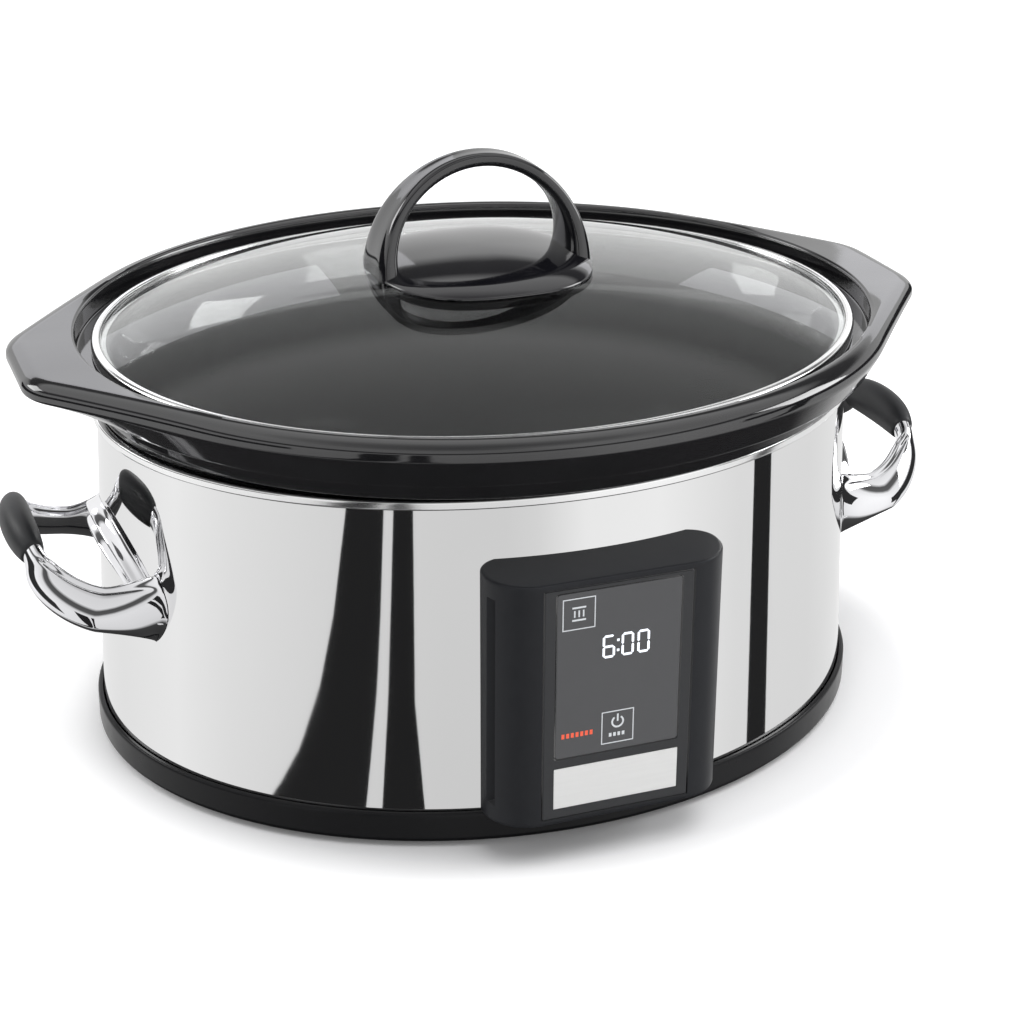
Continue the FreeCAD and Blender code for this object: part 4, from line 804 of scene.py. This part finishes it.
def spline(poles, count, start=0.0, stop=1.0):
    """Points and directions on a clamped cubic B-spline."""
    poles = np.array(poles, float)
    spans = len(poles) - 3
    knots = np.concatenate(([0] * 3, np.arange(spans + 1), [spans] * 3)).astype(float)

    def value(points, degree, knot, t):
        span = min(int(np.searchsorted(knot, t, side="right")) - 1, len(points) - 1)
        near = [points[j + span - degree] for j in range(degree + 1)]
        for r in range(1, degree + 1):
            for j in range(degree, r - 1, -1):
                i = j + span - degree
                share = (t - knot[i]) / (knot[i + degree - r + 1] - knot[i])
                near[j] = (1 - share) * near[j - 1] + share * near[j]
        return near[degree]

    steps = np.diff(poles, axis=0) * 3 / (knots[4:-1] - knots[1:-4])[:, None]
    found = []
    for t in np.linspace(start, stop, count) * spans:
        t = min(t, spans - 1e-9)
        tangent = value(steps, 2, knots[1:-1], t)
        found.append((value(poles, 3, knots, t), tangent / np.linalg.norm(tangent)))
    return found


def handle_poles():
    """Control points of the bar's middle line, as in the CAD handle."""
    quarter = ((153.7, 50, 83), (178, 50, 83), (199, 32.75, 95), (199, 27, 104), (202, 13.5, 107))
    return [(x, -y, z) for x, y, z in quarter] + [(x, y, z) for x, y, z in reversed(quarter)]


def wall_x(y, z, offset):
    """How far the wall's right half reaches at a place, plus an offset."""
    length, width = wall_half(z, offset)
    return length * np.sqrt(np.maximum(1 - (y / width) ** 2, 0.01))


def upright(tangent):
    """Direction nearest to straight up that is square to a tangent, and the one across both."""
    up = np.array((0.0, 0.0, 1.0)) - tangent * tangent[2]
    up /= np.linalg.norm(up)
    return up, np.cross(tangent, up)


def section(place, tangent, half_width, half_depth, turns):
    """Ring of an oval section, square to the tangent."""
    up, across = upright(tangent)
    wide, deep = np.cos(turns) * half_width, np.sin(turns) * half_depth
    return place + np.outer(wide, across) + np.outer(deep, up)


def smooth(share):
    """Ease from 0 to 1."""
    share = min(max(share, 0.0), 1.0)
    return share * share * (3 - 2 * share)


def dip(turns, centre, width):
    """Smooth notch round a direction, in degrees."""
    away = (np.degrees(turns) - centre + 180) % 360 - 180
    return np.exp(-(away / width) ** 2)


def handle_arm():
    """Ribbed bar that leans outwards at its lower edge; each end spreads into an upright lens."""
    pad_reach, full_lean, wall_gap = 15.0, 38, 0.25
    bar_width, bar_depth = 4.0, 5.2
    rib_angles, rib_depth, rib_width = (50, 84, 118), 0.20, 10
    turns = np.linspace(0, 2 * math.pi, 160, endpoint=False)
    c, s = np.cos(turns), np.sin(turns)
    found = spline(handle_poles(), 241, 0.02, 0.98)
    start = found[0][0]
    rings = []
    for n, (place, tangent) in enumerate(found):
        share = n / (len(found) - 1)
        side = min(share, 1 - share) * 2
        spread = max(0.0, 1 - side * 1.35) ** 1.4
        near = 1 - smooth(abs(place[0] - start[0]) / pad_reach)
        lean = math.radians(full_lean) * (1 - near) * smooth((0.72 - side) / 0.5)
        half_width = bar_width + 2.6 * near
        half_depth = bar_depth + 5.2 * spread + 4.4 * near
        ribs = smooth((0.50 - side) * 5) * (1 - near)
        shape = 1 - ribs * sum(rib_depth * dip(turns, at, rib_width) for at in rib_angles)
        up, out = upright(tangent)
        leant_up = up * math.cos(lean) - out * math.sin(lean)
        leant_out = out * math.cos(lean) + up * math.sin(lean)
        across = c * np.abs(c) ** (0.9 * near) * shape * half_width
        ring = place + np.outer(across, leant_out) + np.outer(s * shape * half_depth, leant_up)
        if near:
            seat = wall_x(ring[:, 1], ring[:, 2], wall_gap)
            own = np.maximum(ring[:, 0], seat)
            blend = 1 - near ** 0.8
            ring[:, 0] = seat * (1 - blend) + own * blend
        rings.append(ring)
    return skin("arm", rings)


def handle_grip():
    """Soft bean that is fullest in the middle; its ends close in round the bar."""
    half_width, half_depth, taper = 6.9, 9.2, 0.34
    bar_width, bar_depth = 3.9, 5.2
    turns = np.linspace(0, 2 * math.pi, 72, endpoint=False)
    found = spline(handle_poles(), 91, 0.30, 0.70)
    rings = []
    for n, (place, tangent) in enumerate(found):
        side = abs(2 * n / (len(found) - 1) - 1)
        swell = 1.0 - taper * side ** 2
        end = 1 - 0.22 * max(0.0, (side - 0.90) / 0.10) ** 2.5
        rings.append(
            section(place, tangent, half_width * swell * end, half_depth * swell * end, turns))
    first, last = (section(*found[n], bar_width, bar_depth, turns) for n in (0, -1))
    return skin("grip", [first, *rings, last])


def handle_plate():
    """Crescent on the wall with two raised ribs; its tips run under the bar's ends."""
    reach, top, drop, band = 55.0, 110.0, 31.0, 14.5
    rib_place, rib_width, plain_sheet, rib_rise = 0.52, 0.24, 1.4, 4.2

    def arc(y, height, fall):
        radius = (reach ** 2 + fall ** 2) / (2 * fall)
        return height - radius + math.sqrt(max(radius ** 2 - y ** 2, 0.0))

    across = np.linspace(-1, 1, 41)
    rows = []
    for t in np.linspace(-1, 1, 141):
        y = reach * math.sin(t * math.pi / 2)
        high, low = arc(y, top, drop), arc(y, top - band, drop - band)
        centre, half = (high + low) / 2, max((high - low) / 2, 0.25)
        row, under = [], []
        for s in across:
            edge = math.sqrt(max(1 - abs(s) ** 8, 0.0))
            rib = math.exp(-((abs(s) - rib_place) / rib_width) ** 2)
            z = centre + half * s
            fade = math.sqrt(math.cos(t * 0.48 * math.pi))
            proud = 0.05 + edge * (plain_sheet + rib_rise * rib * fade)
            row.append((float(wall_x(y, z, proud)), y, z))
            under.append((float(wall_x(y, z, 0.02)), y, z))
        rows.append(row + under[::-1][1:-1])
    return skin("crescent", rows)


def handles():
    """Both side handles; the left one is the right one's mirror image."""
    for side, flip in (("right", False), ("left", True)):
        for name, mesh, material, node in (
            ("handle_arm_" + side, handle_arm(), "chrome", "side_handle_" + side),
            ("handle_grip_cover_" + side, handle_grip(), "grip", "handle_grip_" + side),
            ("handle_crescent_" + side, handle_plate(), "chrome", "handle_plate_" + side),
        ):
            made = mirrored(name, mesh) if flip else mesh
            made.name = name
            piece(name, made, material, "cooker", node, sharp=50.0)


def inlet():
    """Ribbed bush that the mains cord comes out of."""
    skin_y = wall_half(INLET_Z)[1]
    profile = (
        (4.0, 8.0), (6.6, 8.0), (7.0, 7.6), (7.0, 6.9), (6.3, 6.7), (6.3, 5.9), (7.0, 5.7),
        (7.0, 4.9), (6.3, 4.7), (6.3, 3.9), (7.4, 3.2), (10.4, 3.0), (11.0, 2.4), (11.0, -0.5),
        (7.0, -0.5), (7.0, -9.0), (4.0, -9.0),
    )
    rings = turned(profile, (0, skin_y, INLET_Z), (0, 1, 0))
    piece("cord_bush", skin("bush", rings, closed=True), "black_plastic", "cooker",
          "cord_inlet_bush", sharp=35.0)


def inner_nodes():
    """Give each CAD node its material; the wall doesn't mirror those behind the panel."""
    behind_panel = {
        "display_module", "touch_board", "power_board", "board_spacers", "relay",
        "mains_transformer", "capacitor", "buzzer", "housing_screws",
    }
    for part in frame["record"]["subparts"]:
        thing = frame["nodes"][part["node"]]
        thing.visible_glossy = part["node"] not in behind_panel
        for n in range(max(len(thing.data.materials), 1)):
            if thing.material_slots:
                thing.material_slots[n].material = MATERIALS[part["material_slot"]]


# ---------------------------------------------------------------- stage

def stage_object(name, vertices, faces, material):
    """Mesh that is set in the scene apart from the cooker's bodies."""
    mesh = bpy.data.meshes.new(name)
    mesh.from_pydata(vertices, [], faces)
    mesh.materials.append(material)
    thing = bpy.data.objects.new(name, mesh)
    bpy.context.scene.collection.objects.link(thing)
    return thing


def floor():
    """White floor that keeps the shadow near the cooker and turns pure white further out."""
    mat = bpy.data.materials.new("floor")
    mat.use_nodes = True
    tree = mat.node_tree
    bsdf = tree.nodes["Principled BSDF"]
    bsdf.inputs["Base Color"].default_value = (0.90, 0.90, 0.91, 1.0)
    bsdf.inputs["Roughness"].default_value = 0.7
    bsdf.inputs["Specular IOR Level"].default_value = 0.1
    bsdf.inputs["Emission Color"].default_value = (1.0, 1.0, 1.0, 1.0)
    path = tree.nodes.new("ShaderNodeLightPath")
    place = tree.nodes.new("ShaderNodeTexCoord")
    squeeze = tree.nodes.new("ShaderNodeMapping")
    half_x, half_y, centre_x, centre_y = 0.18, 0.15, 0.02, -0.012
    squeeze.inputs["Location"].default_value = (-centre_x / half_x, -centre_y / half_y, 0.0)
    squeeze.inputs["Scale"].default_value = (1 / half_x, 1 / half_y, 1.0)
    length = tree.nodes.new("ShaderNodeVectorMath")
    length.operation = "LENGTH"
    fade = tree.nodes.new("ShaderNodeMapRange")
    fade.interpolation_type = "SMOOTHSTEP"
    fading = (("From Min", 0.95), ("From Max", 1.20), ("To Min", 0.06), ("To Max", 0.50))
    for socket, value in fading:
        fade.inputs[socket].default_value = value
    share = tree.nodes.new("ShaderNodeMath")
    share.operation = "MULTIPLY"
    tree.links.new(place.outputs["Object"], squeeze.inputs["Vector"])
    tree.links.new(squeeze.outputs["Vector"], length.inputs[0])
    tree.links.new(length.outputs["Value"], fade.inputs["Value"])
    tree.links.new(path.outputs["Is Camera Ray"], share.inputs[0])
    tree.links.new(fade.outputs["Result"], share.inputs[1])
    tree.links.new(share.outputs["Value"], bsdf.inputs["Emission Strength"])
    r = FLOOR_REACH
    corners = [(-r, -r, 0), (r, -r, 0), (r, r, 0), (-r, r, 0)]
    thing = stage_object("floor", corners, [(0, 1, 2, 3)], mat)
    thing.visible_glossy = False


def card(name, rows, level):
    """Screen on a wide cylinder that only reflections see.

    Its rows are (height, first azimuth, last azimuth), in degrees from -Y towards +X.
    """
    mat = bpy.data.materials.new(name)
    mat.use_nodes = True
    tree = mat.node_tree
    tree.nodes.clear()
    glow = tree.nodes.new("ShaderNodeEmission")
    glow.inputs["Color"].default_value = (level, level, level * 1.03, 1.0)
    out = tree.nodes.new("ShaderNodeOutputMaterial")
    tree.links.new(glow.outputs["Emission"], out.inputs["Surface"])
    vertices, faces = [], []
    for z, first, last in rows:
        for azimuth in np.radians(np.linspace(first, last, CARD_COLUMNS)):
            x, y = CARD_DISTANCE * math.sin(azimuth), -CARD_DISTANCE * math.cos(azimuth)
            vertices.append((x, y, z))
    for row in range(len(rows) - 1):
        for n in range(CARD_COLUMNS - 1):
            k = row * CARD_COLUMNS + n
            faces.append((k, k + 1, k + 1 + CARD_COLUMNS, k + CARD_COLUMNS))
    thing = stage_object(name, vertices, faces, mat)
    thing.visible_camera = thing.visible_diffuse = thing.visible_shadow = False
    thing.visible_transmission = False


def cards():
    """Dark flags make the wall's stripes, bands darken its ends, and bright ones light the back."""
    card("flag_left", (
        (0.9, -40.0, -31.0), (-0.68, -41.5, -31.5), (-0.87, -45.5, -32.6), (-0.99, -49.6, -33.6),
        (-1.10, -55.9, -35.2), (-1.21, -67.7, -37.0), (-1.35, -82.0, -39.0)), 0.018)
    card("flag_middle", (
        (0.9, -28.6, -24.0), (-0.70, -29.1, -24.0), (-1.01, -30.7, -23.7), (-1.21, -32.5, -21.0),
        (-1.35, -33.5, -20.0)), 0.017)
    card("band_left", ((-0.30, -150.0, -58.0), (0.42, -150.0, -58.0)), 0.03)
    card("band_right", ((-0.30, 52.0, 130.0), (0.42, 52.0, 130.0)), 0.03)
    card("back_left", ((0.80, 170.0, 200.0), (1.42, 170.0, 200.0)), 1.6)
    card("back_right", ((0.72, 126.0, 146.0), (1.16, 126.0, 146.0)), 1.7)
    card("flag_right", ((0.4, 70.0, 77.5), (-0.72, 69.5, 76.7), (-1.35, 67.0, 75.0)), 0.02)


def fill_ramp(node, stops):
    """Grey colour ramp from (position, level) pairs in rising order."""
    elements = node.color_ramp.elements
    while len(elements) < len(stops):
        elements.new(0.5)
    for element, (position, _) in zip(elements, stops):
        element.position = position
    for element, (position, level) in zip(elements, stops):
        element.color = (level, level, level, 1.0)


def world():
    """White behind the cooker; reflections see it by elevation and, more weakly, by azimuth."""
    studio = bpy.data.worlds.new("studio")
    bpy.context.scene.world = studio
    studio.use_nodes = True
    tree = studio.node_tree
    back = tree.nodes["Background"]
    path = tree.nodes.new("ShaderNodeLightPath")
    place = tree.nodes.new("ShaderNodeTexCoord")
    split = tree.nodes.new("ShaderNodeSeparateXYZ")
    height = tree.nodes.new("ShaderNodeMapRange")
    height.inputs["From Min"].default_value = -1.0
    height.inputs["From Max"].default_value = 1.0
    ramp = tree.nodes.new("ShaderNodeValToRGB")
    tree.links.new(place.outputs["Generated"], split.inputs["Vector"])
    tree.links.new(split.outputs["Z"], height.inputs["Value"])
    tree.links.new(height.outputs["Result"], ramp.inputs["Fac"])
    by_elevation = (
        (-90, 0.04), (-42, 0.06), (-33, 0.86), (-17, 0.93), (-6, 0.95), (15, 1.0), (23, 0.90),
        (28, 0.12), (36, 0.10), (41, 0.95), (62, 0.9), (90, 0.35),
    )
    fill_ramp(ramp, [
        ((math.sin(math.radians(angle)) + 1) / 2, level) for angle, level in by_elevation])
    around = tree.nodes.new("ShaderNodeMath")
    around.operation = "ARCTAN2"
    tree.links.new(split.outputs["X"], around.inputs[0])
    tree.links.new(split.outputs["Y"], around.inputs[1])
    turn = tree.nodes.new("ShaderNodeMapRange")
    turn.inputs["From Min"].default_value = -math.pi
    turn.inputs["From Max"].default_value = math.pi
    tree.links.new(around.outputs["Value"], turn.inputs["Value"])
    shade = tree.nodes.new("ShaderNodeValToRGB")
    tree.links.new(turn.outputs["Result"], shade.inputs["Fac"])
    fill_ramp(shade, (
        (0.0, 0.81), (0.042, 0.81), (0.111, 0.84), (0.222, 0.97), (0.292, 1.09), (0.40, 1.0),
        (0.60, 1.0), (0.722, 0.90), (0.819, 0.93), (0.889, 1.10), (0.944, 1.07), (0.978, 0.86),
        (1.0, 0.81)))
    shaded = tree.nodes.new("ShaderNodeMix")
    shaded.data_type = "RGBA"
    shaded.blend_type = "MULTIPLY"
    shaded.inputs["Factor"].default_value = 1.0
    tree.links.new(ramp.outputs["Color"], shaded.inputs["A"])
    tree.links.new(shade.outputs["Color"], shaded.inputs["B"])
    glossy = tree.nodes.new("ShaderNodeMix")
    glossy.data_type = "RGBA"
    tree.links.new(path.outputs["Is Glossy Ray"], glossy.inputs["Factor"])
    soft = 0.55
    glossy.inputs["A"].default_value = (soft, soft, soft, 1.0)
    tree.links.new(shaded.outputs["Result"], glossy.inputs["B"])
    clear = tree.nodes.new("ShaderNodeMath")
    clear.operation = "MAXIMUM"
    tree.links.new(path.outputs["Is Camera Ray"], clear.inputs[0])
    tree.links.new(path.outputs["Is Transmission Ray"], clear.inputs[1])
    seen = tree.nodes.new("ShaderNodeMix")
    seen.data_type = "RGBA"
    tree.links.new(clear.outputs["Value"], seen.inputs["Factor"])
    tree.links.new(glossy.outputs["Result"], seen.inputs["A"])
    seen.inputs["B"].default_value = (1.0, 1.0, 1.0, 1.0)
    tree.links.new(seen.outputs["Result"], back.inputs["Color"])


def lamp(name, place, aim, width, height, power, glossy=False):
    """Area lamp in watts; only a glossy one shows in reflections."""
    data = bpy.data.lights.new(name, "AREA")
    data.shape, data.size, data.size_y = "RECTANGLE", width, height
    data.energy = power
    thing = bpy.data.objects.new(name, data)
    bpy.context.scene.collection.objects.link(thing)
    thing.location = place
    thing.rotation_euler = (Vector(aim) - Vector(place)).to_track_quat("-Z", "Y").to_euler()
    thing.visible_glossy = glossy


def lamps():
    """Soft light from above, and a glossy lamp at the right and at the back left."""
    lamp("key", (0.3, -0.7, 2.1), (0, 0, 0.1), 1.8, 1.4, 22.0)
    lamp("side", (1.9, -0.35, 0.95), (0, 0, 0.1), 0.9, 0.9, 15.0, glossy=True)
    lamp("edge", (-1.5, 1.1, 1.1), (0, 0, 0.15), 0.8, 0.7, 8.0, glossy=True)


MATERIALS = materials()
camera()
inner_nodes()
base()
wrap()
trim()
crock()
lid()
knob()
housing()
panel()
graphics()
handles()
inlet()
floor()
cards()
world()
lamps()
bpy.context.scene.view_settings.view_transform = "Standard"
